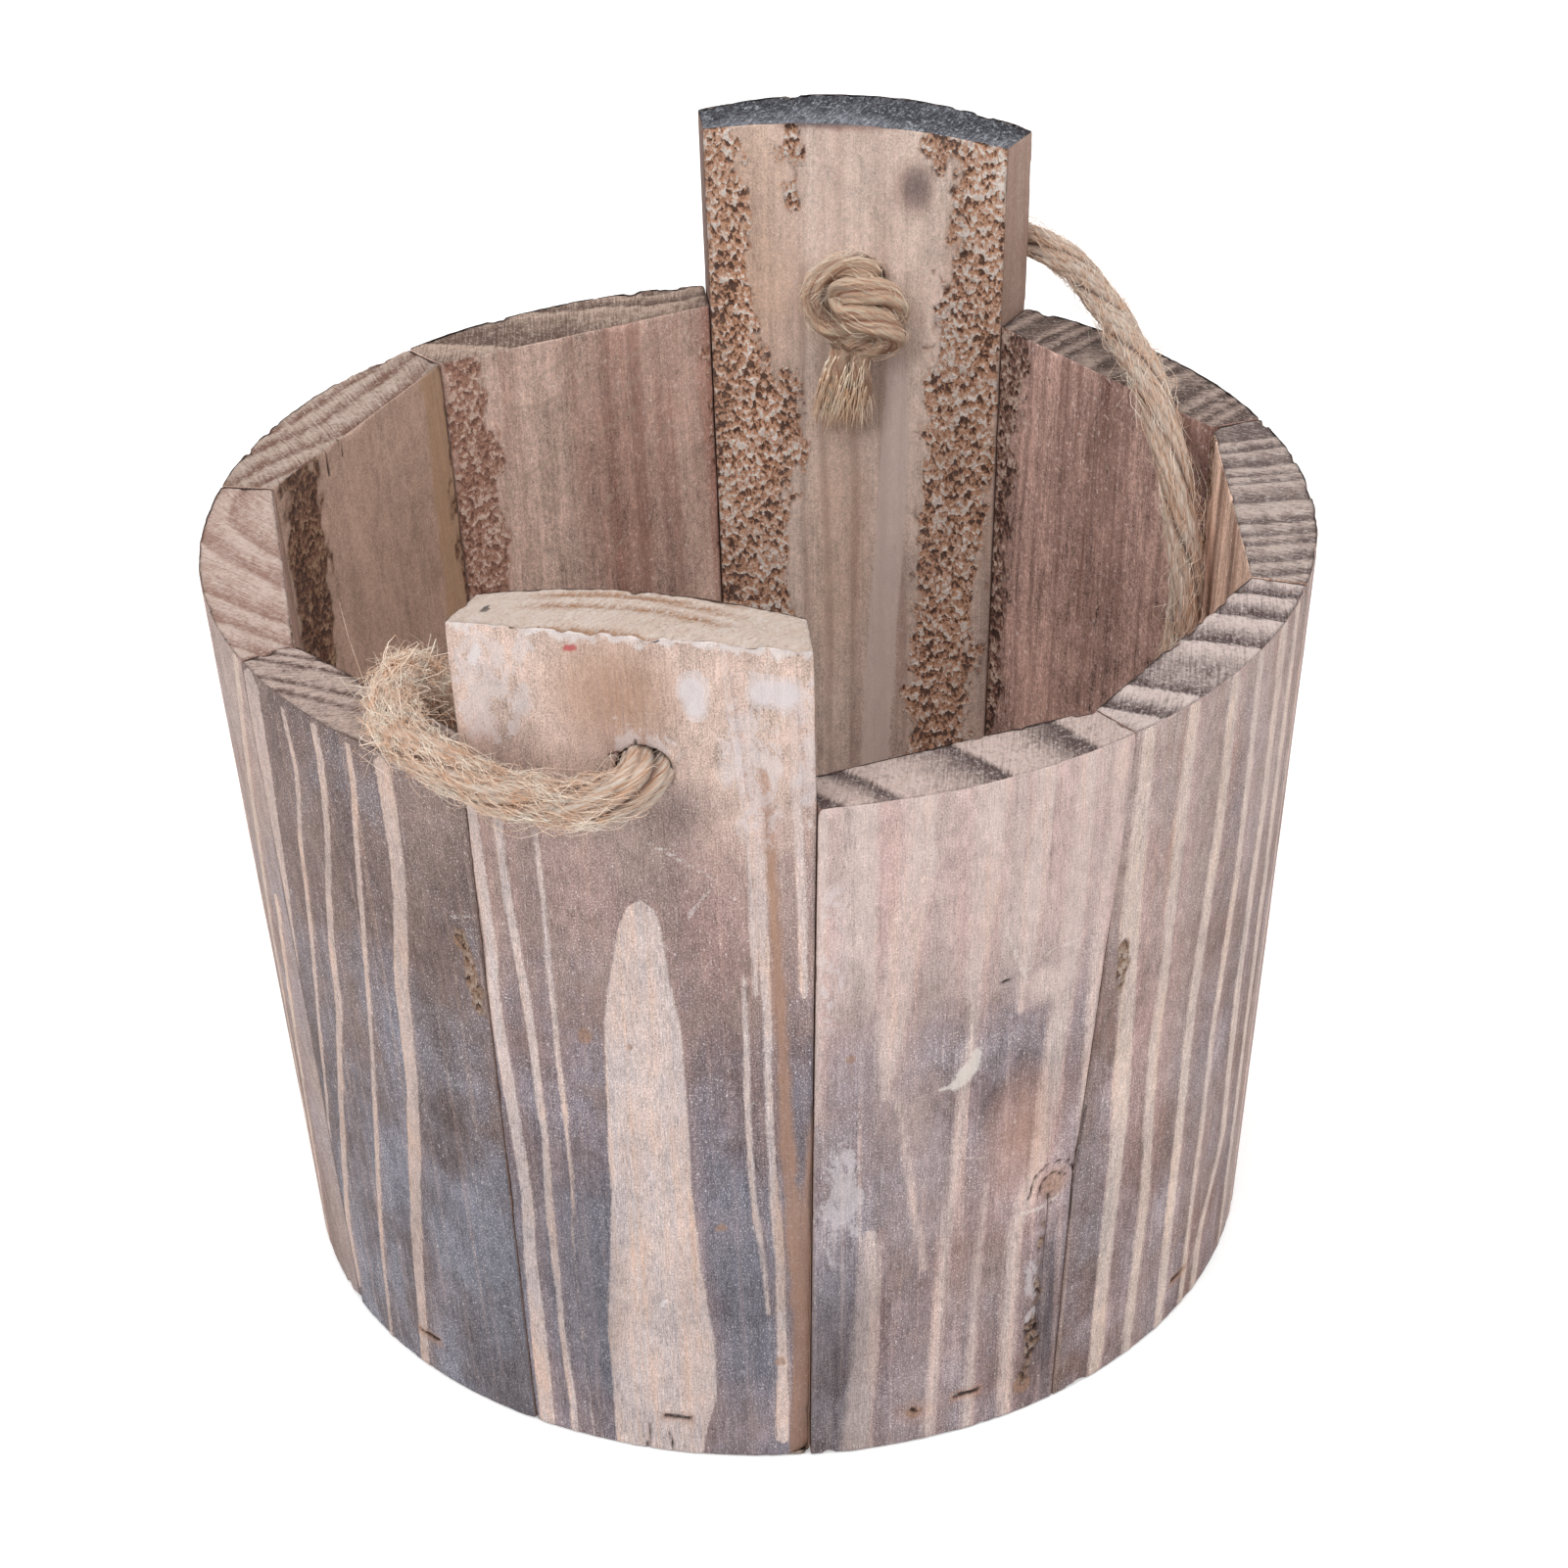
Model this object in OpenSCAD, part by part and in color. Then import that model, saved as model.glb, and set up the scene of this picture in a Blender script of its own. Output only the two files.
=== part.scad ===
// Barrel planter: ten bevelled staves on a three-board floor, with a rope handle tied to two tall ear staves.
// Millimetres. The origin is at the centre of the foot, +Z is up, and the front ear faces -Y.
// The staves are numbered outward from the front ear, and the list order runs anticlockwise from above.

/* [Barrel] */
// Outer diameter across the rim
rim_d = 210; // [170:1:260]
// Outer diameter across the foot
foot_d = 188; // [150:1:210]
// Height of the side staves
body_h = 150; // [120:1:200]
// Thickness of the wall at a joint between two staves
joint_t = 10.5; // [8:0.5:14]
// Glue gap between two neighbouring boards
glue_gap = 0.2; // [0.1:0.05:0.4]

/* [Stave widths] */
// Width of the front ear stave, along the rim
front_ear_w = 62.5; // [50:0.5:75]
// Width of the back ear stave, along the rim
back_ear_w = 69.5; // [50:0.5:80]
// Widths of the four right staves, from the front ear to the back ear
right_w = [60.5, 63, 68.5, 69.5]; // [50:0.5:80]
// Widths of the four left staves, from the front ear to the back ear
left_w = [61, 70, 68, 67.5]; // [50:0.5:80]
// Turn of the front ear's middle away from straight ahead, in degrees
front_ear_turn = 0.6; // [-3:0.1:3]

/* [Ears] */
// Rise of the front ear's crown above the rim
front_ear_up = 35; // [28:1:60]
// Rise of the back ear's crown above the rim
back_ear_up = 41; // [28:1:60]
// Drop from the crown to the corners of an ear
ear_camber = 3; // [1:0.5:6]
// Radius of the corner that is missing along the front ear's right edge
wane_r = 5; // [3:0.5:8]
// Depth of the missing corner at the foot
wane_depth = 2; // [0.5:0.5:3]
// Height at which the missing corner runs out
wane_h = 95; // [40:1:140]

/* [Rope holes] */
// Diameter of the rope holes
hole_d = 9.5; // [9:0.1:12]
// Height of the rope holes' middle above the rim
hole_up = 8; // [6:0.5:14]
// Distance of the front hole from the middle of its ear, anticlockwise
front_hole_off = 2.5; // [-6:0.5:6]
// Distance of the back hole from the middle of its ear, anticlockwise
back_hole_off = -1.5; // [-6:0.5:6]

/* [Floor] */
// Height of the floor's underside above the foot
floor_up = 3; // [1:0.5:12]
// Thickness of the floor boards
floor_t = 12; // [9:0.5:18]
// Width of the middle floor board
middle_board_w = 54; // [40:1:64]
// Gap between the floor and the wall, and between two floor boards
floor_gap = 0.2; // [0.1:0.05:0.5]

/* [Staples] */
// Width of a staple's crown
staple_w = 5; // [4:0.5:8]
// Length of a staple's legs
staple_leg = 24; // [20:1:28]
// Thickness of the flattened wire
wire_t = 0.7; // [0.5:0.1:1]
// Width of the flattened wire
wire_w = 1.2; // [0.8:0.1:1.6]
// Depth of the crown under the wood's surface
staple_sink = 0.8; // [0.2:0.1:1.5]
// Space round the wire in the wood
staple_clear = 0.1; // [0.05:0.05:0.2]

/* [Rope] */
// Diameter of the rope handle
rope_d = 8; // [6:0.5:8.5]
// Diameter of the rope where a knot pulls it thin
knot_rope_d = 5.3; // [4:0.1:5.4]
// Radius of the ring that a knot winds round
knot_ring_r = 6.4; // [6.2:0.1:7.5]
// Radius of a knot's winding, in the plane of the board
knot_wind_r = 2.95; // [2.8:0.05:3.5]
// Radius of a knot's winding, square to the board
knot_wind_depth = 4.2; // [4:0.1:5.5]
// Length of the tail that hangs from a knot
tail_l = 24; // [15:1:32]

/* [Hidden] */
$fn = 96;

// Places of the staves in the list below
FRONT_EAR = 0;
BACK_EAR = 5;
widths = [
    front_ear_w, right_w[0], right_w[1], right_w[2], right_w[3],
    back_ear_w, left_w[3], left_w[2], left_w[1], left_w[0]
];
STAVES = [0 : len(widths) - 1];

// Sum of the first n values of a list
function total(v, n) = n == 0 ? 0 : v[n - 1] + total(v, n - 1);

deg_per_mm = 360 / total(widths, len(widths));
function span(i) = widths[i] * deg_per_mm;
function middle(i) = 270 + front_ear_turn + (total(widths, i) + widths[i] / 2 - widths[0] / 2) * deg_per_mm;

// The wall leans out by this much for each millimetre of height
lean = (rim_d - foot_d) / 2 / body_h;
function outer_r(z) = foot_d / 2 + lean * z;
// Distance of a stave's flat inner face from the axis: neighbouring faces meet at their joint at every height
function inner_d(i, z) = (outer_r(z) - joint_t) * cos(span(i) / 2);

front_ear_h = body_h + front_ear_up;
back_ear_h = body_h + back_ear_up;
hole_z = body_h + hole_up;
floor_top = floor_up + floor_t;
staple_z = floor_up + floor_t / 2;
crown_x = outer_r(staple_z) - staple_sink;
// A length past every part of the barrel, for cutting blocks, and a small overrun past a cut face
far = rim_d;
over = 1;

wood_tones = [
    [0.72, 0.62, 0.56], [0.70, 0.60, 0.56], [0.66, 0.57, 0.52], [0.52, 0.44, 0.42], [0.50, 0.42, 0.40],
    [0.66, 0.58, 0.50], [0.56, 0.47, 0.43], [0.57, 0.48, 0.43], [0.62, 0.53, 0.49], [0.42, 0.37, 0.37]
];

// Everything on the wood's side of a stave's flat inner face, which is moved inward by grow
module board_side(i, top, grow = 0) {
    rotate([90, 0, 0])
        linear_extrude(height = 2 * far, center = true)
            polygon([
                [inner_d(i, 0) - grow, 0], [far, 0],
                [far, top], [inner_d(i, top) - grow, top]
            ]);
}

// The wedge between a stave's two bevelled edges, less half the glue gap at each
module wedge(i, top) {
    half = span(i) / 2;
    apex = glue_gap / 2 / sin(half);
    linear_extrude(height = top)
        polygon([
            [apex, 0],
            [apex + far * cos(half), -far * sin(half)],
            [apex + far * cos(half), far * sin(half)]
        ]);
}

// One staple in the frame of its stave, grown by extra for the slot that it sits in
module staple_body(extra = 0, outward = 0) {
    translate([crown_x - wire_t - extra, -staple_w / 2 - extra, staple_z - wire_w / 2 - extra])
        cube([wire_t + 2 * extra + outward, staple_w + 2 * extra, wire_w + 2 * extra]);
    for (side = [-1, 1])
        translate([crown_x - staple_leg - extra, side * (staple_w - wire_t) / 2 - wire_t / 2 - extra,
                   staple_z - wire_w / 2 - extra])
            cube([staple_leg + extra, wire_t + 2 * extra, wire_w + 2 * extra]);
}

// The slot runs out through the surface above the crown
module staple_slot() {
    staple_body(staple_clear, staple_sink + over);
}

// A bevelled board: round outside, flat inside, tapering to the foot
module stave(i, top) {
    color(wood_tones[i])
        rotate([0, 0, middle(i)])
            difference() {
                intersection() {
                    cylinder(h = top, r1 = outer_r(0), r2 = outer_r(top));
                    wedge(i, top);
                    board_side(i, top);
                }
                staple_slot();
            }
}

// What the arched saw cut takes off the top of an ear
module crown_waste(i, top) {
    half_w = outer_r(top) * sin(span(i) / 2);
    crown_r = (half_w * half_w + ear_camber * ear_camber) / (2 * ear_camber);
    difference() {
        translate([0, -far / 2, top - 2 * ear_camber])
            cube([far, far, 2 * ear_camber + over]);
        translate([0, 0, top - crown_r])
            rotate([0, 90, 0])
                cylinder(h = 3 * far, r = crown_r, center = true);
    }
}

// An ear is a longer stave with an arched top and a rope hole
module ear_stave(i, top, hole_off) {
    color(wood_tones[i])
        difference() {
            stave(i, top);
            rotate([0, 0, middle(i)]) {
                crown_waste(i, top);
                translate([0, hole_off, hole_z])
                    rotate([0, 90, 0])
                        cylinder(h = far, d = hole_d);
            }
        }
}

// The missing corner along the front ear's right edge, deepest at the foot
module wane() {
    rotate([0, 0, middle(FRONT_EAR) + span(FRONT_EAR) / 2])
        translate([outer_r(0) + wane_r - wane_depth, 0, 0])
            rotate([0, atan(lean + wane_depth / wane_h), 0])
                cylinder(h = 2 * body_h, r = wane_r, center = true);
}

module front_ear_stave() {
    color(wood_tones[FRONT_EAR])
        difference() {
            ear_stave(FRONT_EAR, front_ear_h, front_hole_off);
            wane();
        }
}

module back_ear_stave() {
    ear_stave(BACK_EAR, back_ear_h, back_hole_off);
}

// A floor board: the part of the barrel's inside between two seams, bevelled to the staves round it
module floor_board(from_x, to_x) {
    color([0.62, 0.52, 0.44])
        difference() {
            intersection() {
                translate([from_x, -far, floor_up])
                    cube([to_x - from_x, 2 * far, floor_t]);
                cylinder(h = floor_top, r = outer_r(floor_top));
            }
            for (i = STAVES)
                rotate([0, 0, middle(i)]) {
                    board_side(i, floor_top + over, floor_gap);
                    staple_slot();
                }
        }
}

module staples() {
    color([0.55, 0.55, 0.57])
        for (i = STAVES)
            rotate([0, 0, middle(i)])
                staple_body();
}

// Smooth line through a list of points: each span gets the same number of steps
function spline_point(a, b, c, d, t) =
    0.5 * (2 * b + (c - a) * t + (2 * a - 5 * b + 4 * c - d) * t * t + (3 * b - a - 3 * c + d) * t * t * t);
function spline(p, steps) = let (last = len(p) - 1) [
    for (k = [0 : last - 1])
        for (s = [0 : steps - 1])
            spline_point(p[max(k - 1, 0)], p[k], p[k + 1], p[min(k + 2, last)], s / steps),
    p[last]
];

function unit(v) = v / norm(v);
function along(p, k) = unit(p[min(k + 1, len(p) - 1)] - p[max(k - 1, 0)]);
// The part of v that is square to t
function square_to(v, t) = unit(v - (v * t) * t);
// A side direction for each point, carried along the line without twisting
function sides_of(p) = [
    for (k = 0, n = square_to([0.3, 0.2, 1], along(p, 0));
         k < len(p);
         k = k + 1, n = k < len(p) ? square_to(n, along(p, k)) : n)
        n
];

// A round tube swept along a line of points
module tube(p, d, faces) {
    n = sides_of(p);
    rings = [
        for (k = [0 : len(p) - 1])
            for (f = [0 : faces - 1])
                let (a = 360 * f / faces, m = cross(along(p, k), n[k]))
                    p[k] + d / 2 * (cos(a) * n[k] + sin(a) * m)
    ];
    walls = [
        for (k = [0 : len(p) - 2])
            for (f = [0 : faces - 1])
                let (g = (f + 1) % faces, low = k * faces, high = low + faces)
                    each [[low + f, high + f, high + g], [low + f, high + g, low + g]]
    ];
    start_cap = [for (f = [1 : faces - 2]) [0, f, f + 1]];
    end_ring = (len(p) - 1) * faces;
    end_cap = [for (f = [1 : faces - 2]) [end_ring, end_ring + f + 1, end_ring + f]];
    polyhedron(points = rings, faces = concat(walls, start_cap, end_cap));
}

// Route of the rope's middle: out of the front hole, over the left rim, down inside, round the front and
// right walls, up over the right rim and into the back hole from behind
ROPE_ROUTE = [
    [3.5, -91, 158], [3.5, -98.5, 158], [3.6, -105.5, 157.8], [2, -109.8, 157],
    [-2, -111.6, 155.5], [-9, -111.4, 153.8], [-18, -109.8, 153.3], [-26, -107.8, 154.4],
    [-33, -104.8, 155.8], [-39, -99.6, 156], [-43.6, -92, 155.4], [-46.4, -83.5, 155.2],
    [-46.2, -75.2, 154], [-44.4, -69, 147], [-41.5, -65.5, 137], [-36, -63.8, 121],
    [-29, -62.6, 105], [-18, -61.2, 91], [-4, -59, 82], [12, -54, 76],
    [28, -45, 74.5], [43, -31, 76], [56, -13, 80.5], [66, 4, 87.5],
    [73.6, 18.5, 98], [77, 27, 111], [77.8, 31, 124], [75.6, 38.5, 136],
    [71.6, 47.8, 146.5], [67, 56.8, 154], [60.8, 70, 157.2], [53.6, 85.4, 158],
    [46, 98.4, 159.2], [38, 104.4, 161.4], [29, 107.6, 162.6], [19, 110.6, 161.8],
    [9.6, 111.8, 159.6], [4.6, 110.2, 158.4], [2.6, 105.8, 158], [2.6, 99, 158],
    [2.6, 90.1, 158]
];
ROPE_STEPS = 2;
ROPE_FACES = 10;

module rope_handle() {
    color([0.76, 0.62, 0.43])
        tube(spline(ROPE_ROUTE, ROPE_STEPS), rope_d, ROPE_FACES);
}

// An overhand knot, seen from inside the barrel: u to the right, v up the board and w away from it.
// The rope winds twice round a ring and passes three times through its eye.
KNOT_FROM = 90;
KNOT_TO = 660;
KNOT_STEP = 30;
KNOT_TURN = 310;
KNOT_STEPS = 2;
KNOT_FACES = 8;
// Middle of the ring, below and to the left of the hole
KNOT_MIDDLE = [-3.5, -4.5];
// Space between the board and the knot
knot_rest = 0.6;
knot_lift = knot_rest + knot_rope_d / 2 + knot_wind_depth;
function wind_r(t) = knot_ring_r + knot_wind_r * cos(1.5 * t);
function wind_point(t) = [
    KNOT_MIDDLE[0] + wind_r(t) * cos(KNOT_TURN + t),
    KNOT_MIDDLE[1] + wind_r(t) * sin(KNOT_TURN + t),
    knot_lift - knot_wind_depth * sin(1.5 * t)
];
neck = [[0.4, 0.2, 0.3], [0.5, -0.8, 2.2]];
// The tail bends over the ring and hangs down along the board
tail_foot = knot_rest + knot_rope_d / 2 + 1;
tail_top = [
    KNOT_MIDDLE[0] + 1.6, KNOT_MIDDLE[1] - knot_ring_r - 2.4, knot_lift + knot_wind_depth - 0.6
];
tail = [
    tail_top,
    tail_top + [2, -3.6, -2.8],
    [tail_top[0] + 1.8, tail_top[1] - tail_l * 0.4, tail_foot + 3],
    [tail_top[0] + 0.6, tail_top[1] - tail_l * 0.7, tail_foot + 1],
    [tail_top[0] - 0.8, tail_top[1] - tail_l, tail_foot]
];
knot_line = spline(
    concat(neck, [for (t = [KNOT_FROM : KNOT_STEP : KNOT_TO]) wind_point(t)], tail), KNOT_STEPS);
// Rings nearer along the rope than this many steps are neighbours
KNOT_NEAR = 6;
knot_gap = min([
    for (a = [0 : len(knot_line) - KNOT_NEAR - 1])
        for (b = [a + KNOT_NEAR : len(knot_line) - 1])
            norm(knot_line[a] - knot_line[b])
]) - knot_rope_d;
echo(knot_least_gap_to_itself = knot_gap);

module knot(i, hole_off) {
    color([0.78, 0.64, 0.45])
        rotate([0, 0, middle(i)])
            translate([inner_d(i, hole_z), hole_off, hole_z])
                rotate([90 - atan(lean), 0, -90])
                    tube(knot_line, knot_rope_d, KNOT_FACES);
}

module rope_knot_front() {
    knot(FRONT_EAR, front_hole_off);
}

module rope_knot_back() {
    knot(BACK_EAR, back_hole_off);
}

front_ear_stave();
stave(1, body_h);  // right_stave_1
stave(2, body_h);  // right_stave_2
stave(3, body_h);  // right_stave_3
stave(4, body_h);  // right_stave_4
back_ear_stave();
stave(6, body_h);  // left_stave_4
stave(7, body_h);  // left_stave_3
stave(8, body_h);  // left_stave_2
stave(9, body_h);  // left_stave_1
floor_board(-far, -middle_board_w / 2 - floor_gap / 2);  // floor_board_left
floor_board(-middle_board_w / 2 + floor_gap / 2, middle_board_w / 2 - floor_gap / 2);  // floor_board_middle
floor_board(middle_board_w / 2 + floor_gap / 2, far);  // floor_board_right
staples();
rope_handle();
rope_knot_front();
rope_knot_back();
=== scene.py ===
"""A rope-handled barrel planter of torched, brushed and whitewashed fir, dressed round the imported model.

Lengths are millimetres until a mesh is made, which is in metres. A board's own frame has x outward from
the barrel's axis, y anticlockwise across the board and z up, as in the part's source.
"""
from __future__ import annotations

import logging
import math
from dataclasses import dataclass, replace
from enum import Enum
from typing import Any, Callable, Iterable, Sequence, Union

import bpy
import numpy as np
from mathutils import Matrix, Vector


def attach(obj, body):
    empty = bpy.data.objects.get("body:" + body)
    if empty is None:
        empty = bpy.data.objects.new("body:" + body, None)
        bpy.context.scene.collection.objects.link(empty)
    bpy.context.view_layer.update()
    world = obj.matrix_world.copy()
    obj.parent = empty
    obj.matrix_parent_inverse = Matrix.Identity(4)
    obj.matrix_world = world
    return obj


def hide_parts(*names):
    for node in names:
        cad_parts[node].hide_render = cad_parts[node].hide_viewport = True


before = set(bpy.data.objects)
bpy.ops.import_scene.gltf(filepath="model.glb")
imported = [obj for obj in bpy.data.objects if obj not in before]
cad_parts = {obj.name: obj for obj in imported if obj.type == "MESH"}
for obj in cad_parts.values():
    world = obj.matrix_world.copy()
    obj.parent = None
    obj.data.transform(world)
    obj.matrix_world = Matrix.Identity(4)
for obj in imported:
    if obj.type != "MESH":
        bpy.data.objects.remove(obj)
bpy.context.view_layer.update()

log = logging.getLogger("barrel_planter")
MM = 0.001
Array = np.ndarray
Pair = tuple[float, float]
Triple = tuple[float, float, float]
Colour = Triple
Value = Union["Shade", float, Colour]


# Noise for the meshes

def hashed(cells: Array, seed: int) -> Array:
    """Give a repeatable number from 0 to 1 for each whole-number cell.

    Args:
        cells: Whole numbers, with the three axes last.
        seed: Picks the pattern.

    Returns:
        One number for each cell.
    """
    c = cells.astype(np.int64)
    h = c[..., 0] * 374761393 + c[..., 1] * 668265263 + c[..., 2] * 2246822519 + seed * 3266489917
    h = h & 0xFFFFFFFF
    h = ((h ^ (h >> 13)) * 1274126177) & 0xFFFFFFFF
    return ((h ^ (h >> 16)) & 0xFFFFFF) / float(0xFFFFFF)


def soft_noise(p: Array, seed: int) -> Array:
    """Give smooth noise from -1 to 1, whose bumps are about one unit wide.

    Args:
        p: Places, with the three axes last.
        seed: Picks the pattern.

    Returns:
        One number for each place.
    """
    base = np.floor(p)
    f = p - base
    f = f * f * (3 - 2 * f)
    total = np.zeros(p.shape[:-1])
    for corner in range(8):
        step = np.array([corner & 1, corner >> 1 & 1, corner >> 2 & 1])
        weight = np.prod(np.where(step, f, 1 - f), axis=-1)
        total += weight * hashed(base + step, seed)
    return 2 * total - 1


def layered_noise(p: Array, seed: int, layers: int = 3) -> Array:
    """Sum layers of soft noise, each twice as fine and half as strong as the last.

    Args:
        p: Places, with the three axes last.
        seed: Picks the pattern.
        layers: Number of layers.

    Returns:
        One number for each place, from about -1 to 1.
    """
    total = np.zeros(p.shape[:-1])
    for k in range(layers):
        total += soft_noise(p * 2.0 ** k, seed + 17 * k) * 0.5 ** k
    return total / (2 - 0.5 ** (layers - 1))


def chip_noise(p: Array, seed: int) -> Array:
    """Give tilted flakes, as where a planer has torn the grain out.

    Args:
        p: Places across and along the board in flakes, with two axes last.
        seed: Picks the pattern.

    Returns:
        The height of the flake at each place, from about -1 to 1.
    """
    base = np.floor(p)
    nearest = np.full(p.shape[:-1], 9.0)
    height = np.zeros(p.shape[:-1])
    for dx in (-1, 0, 1):
        for dy in (-1, 0, 1):
            cell = base + (dx, dy)
            key = np.concatenate([cell, np.zeros(cell.shape[:-1] + (1,))], axis=-1)
            jitter = np.stack([hashed(key, seed), hashed(key, seed + 1)], axis=-1)
            off = p - cell - jitter
            far = np.sum(off * off, axis=-1)
            level = 2 * hashed(key, seed + 2) - 1
            tilt = (hashed(key, seed + 3) - 0.5) * off[..., 0]
            tilt = tilt - (hashed(key, seed + 4) - 0.1) * off[..., 1] * 1.8
            closer = far < nearest
            height = np.where(closer, 0.55 * level + tilt, height)
            nearest = np.where(closer, far, nearest)
    return np.clip(height, -1, 1)


def smooth_step(low: float, high: float, x: Array) -> Array:
    """Rise smoothly from 0 at low to 1 at high."""
    t = np.clip((x - low) / (high - low), 0, 1)
    return t * t * (3 - 2 * t)


def highest(readings: Iterable[Array], floor: Array) -> Array:
    """Give the highest of some readings at each place.

    Args:
        readings: The readings, one array each.
        floor: What no place is lower than.

    Returns:
        One number for each place.
    """
    for reading in readings:
        floor = np.maximum(floor, reading)
    return floor


# The barrel

@dataclass(frozen=True)
class BarrelForm:
    """The barrel's sizes, as in the part's source.

    The joint_skew stops, (height, degrees) for each joint, move it round: the boards were cut by eye.
    """

    rim_d: float = 210.0
    foot_d: float = 188.0
    body_h: float = 150.0
    joint_t: float = 10.5
    glue_gap: float = 0.2
    widths: tuple[float, ...] = (62.5, 60.5, 63.0, 68.5, 69.5, 69.5, 67.5, 68.0, 70.0, 61.0)
    front_turn: float = 0.6
    front_ear_up: float = 35.0
    back_ear_up: float = 41.0
    ear_camber: float = 3.0
    hole_d: float = 9.5
    hole_up: float = 8.0
    front_hole_off: float = 2.5
    back_hole_off: float = -1.5
    joint_skew: tuple[tuple[Pair, ...], ...] = (
        ((0, -2.0), (150, 0)), ((0, -4.8), (54, -4.0), (85, -2.6), (122, -1.0), (150, 0)),
        ((0, -2.4), (150, 0)), ((0, -0.9), (150, 0)), ((0, 0.0),), ((0, 0.0),), ((0, 0.0),), ((0, 0.0),),
        ((0, 0.0),), ((0, -1.0), (150, 0)))

    @property
    def lean(self) -> float:
        """Outward lean of the wall for each millimetre of height."""
        return (self.rim_d - self.foot_d) / 2 / self.body_h

    @property
    def hole_z(self) -> float:
        """Height of the rope holes' middle."""
        return self.body_h + self.hole_up

    def outer_r(self, z: Any) -> Any:
        """Radius of the outside at height z."""
        return self.foot_d / 2 + self.lean * z

    def span(self, i: int) -> float:
        """Angle that board i takes, in degrees."""
        return self.widths[i] * 360 / sum(self.widths)

    def middle(self, i: int) -> float:
        """Angle of board i's middle, in degrees anticlockwise from +X."""
        before = sum(self.widths[:i]) + self.widths[i] / 2 - self.widths[0] / 2
        return 270 + self.front_turn + before * 360 / sum(self.widths)

    def inner_d(self, i: int, z: Any) -> Any:
        """Distance of board i's flat inner face from the axis at height z."""
        return (self.outer_r(z) - self.joint_t) * math.cos(math.radians(self.span(i) / 2))

    def skew(self, i: int, side: int, z: Any) -> Any:
        """How far the joint on a side of board i has moved round at height z, in radians."""
        heights, turns = zip(*self.joint_skew[i if side > 0 else i - 1])
        return np.radians(np.interp(z, heights, turns))

    def place(self, i: int) -> Array:
        """The turn that takes board i's own frame to the barrel's, as a 3 by 3 array."""
        a = math.radians(self.middle(i))
        return np.array([[math.cos(a), -math.sin(a), 0], [math.sin(a), math.cos(a), 0], [0, 0, 1]])


BARREL = BarrelForm()


# Marks on the boards

@dataclass(frozen=True)
class Line:
    """A line or band along a board: (height, place across, half its width) at points from the top down."""

    points: tuple[Triple, ...]

    def follow(self, z: Array) -> tuple[Array, Array]:
        """Follow the band, with its corners rounded off.

        Args:
            z: Heights.

        Returns:
            Its middle and half its width at each height.
        """
        at, *values = np.array(self.points, float)[::-1].T
        heights = np.arange(-12.0, 204.0)
        window = np.hanning(11)[1:-1]
        window = window / window.sum()
        padded = [np.pad(np.interp(heights, at, value), 4, "edge") for value in values]
        middle, half = (np.interp(z, heights, np.convolve(value, window, "valid")) for value in padded)
        return middle, half

    def inside(self, y: Array, z: Array) -> Array:
        """Give how far each place is inside the band, in mm; outside it is below zero.

        Args:
            y: Places across the board.
            z: Heights.

        Returns:
            One distance for each place.
        """
        middle, half = self.follow(z)
        past = np.maximum(0, np.maximum(self.points[-1][0] - z, z - self.points[0][0]))
        return half - np.abs(y - middle) - past * 1.2

    def beside(self, y: Array, z: Array) -> Array:
        """Give how strongly the band's colour has bled out to its right.

        Args:
            y: Places across the board.
            z: Heights.

        Returns:
            A strength from 0 to 1 for each place.
        """
        middle, half = self.follow(z)
        off = y - middle - half
        bled = np.where(off > -0.4, np.exp(-np.maximum(off, 0) / 1.4), 0)
        return bled * np.clip(half, 0, 1) * (self.inside(middle, z) > 0)


@dataclass(frozen=True)
class Scratch:
    """A scratch, crack or smear: a path of (place across, height), and half its width."""

    path: tuple[Pair, ...]
    half: float = 0.25

    def inside(self, y: Array, z: Array) -> Array:
        """Give how far each place is inside the scratch, in mm.

        Args:
            y: Places across the board.
            z: Heights.

        Returns:
            One distance for each place.
        """
        nearest = np.full(y.shape, 99.0)
        for (y0, z0), (y1, z1) in zip(self.path[:-1], self.path[1:]):
            d = np.array([y1 - y0, z1 - z0], float)
            t = np.clip(((y - y0) * d[0] + (z - z0) * d[1]) / max(float(d @ d), 1e-6), 0, 1)
            nearest = np.minimum(nearest, np.hypot(y - y0 - t * d[0], z - z0 - t * d[1]))
        return self.half - nearest


@dataclass(frozen=True)
class Spot:
    """A round or oval place: (place across, height), its two radii, and how strong it is."""

    y: float
    z: float
    ry: float
    rz: float
    amount: float = 1.0

    def strength(self, y: Array, z: Array) -> Array:
        """Give the spot's strength at each place, fading to its rim."""
        r = np.hypot((y - self.y) / self.ry, (z - self.z) / self.rz)
        return self.amount * np.clip(1 - r * r, 0, 1)


def bands(*runs: tuple[Triple, ...]) -> tuple[Line, ...]:
    """Make a line or band from each run of points."""
    return tuple(Line(run) for run in runs)


def scratches(*runs: tuple[Any, ...]) -> tuple[Scratch, ...]:
    """Make a scratch from each run: half its width, then its points."""
    return tuple(Scratch(run[1:], run[0]) for run in runs)


def spots(*runs: tuple[float, ...]) -> tuple[Spot, ...]:
    """Make a spot from each run of its numbers."""
    return tuple(Spot(*run) for run in runs)


class Slot(Enum):
    """The record's material slots."""

    WASHED = "washed_fir"
    BURNT = "burnt_fir"
    PLAIN = "plain_fir"
    STAPLE = "staple_wire"
    ROPE = "jute_rope"


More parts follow.
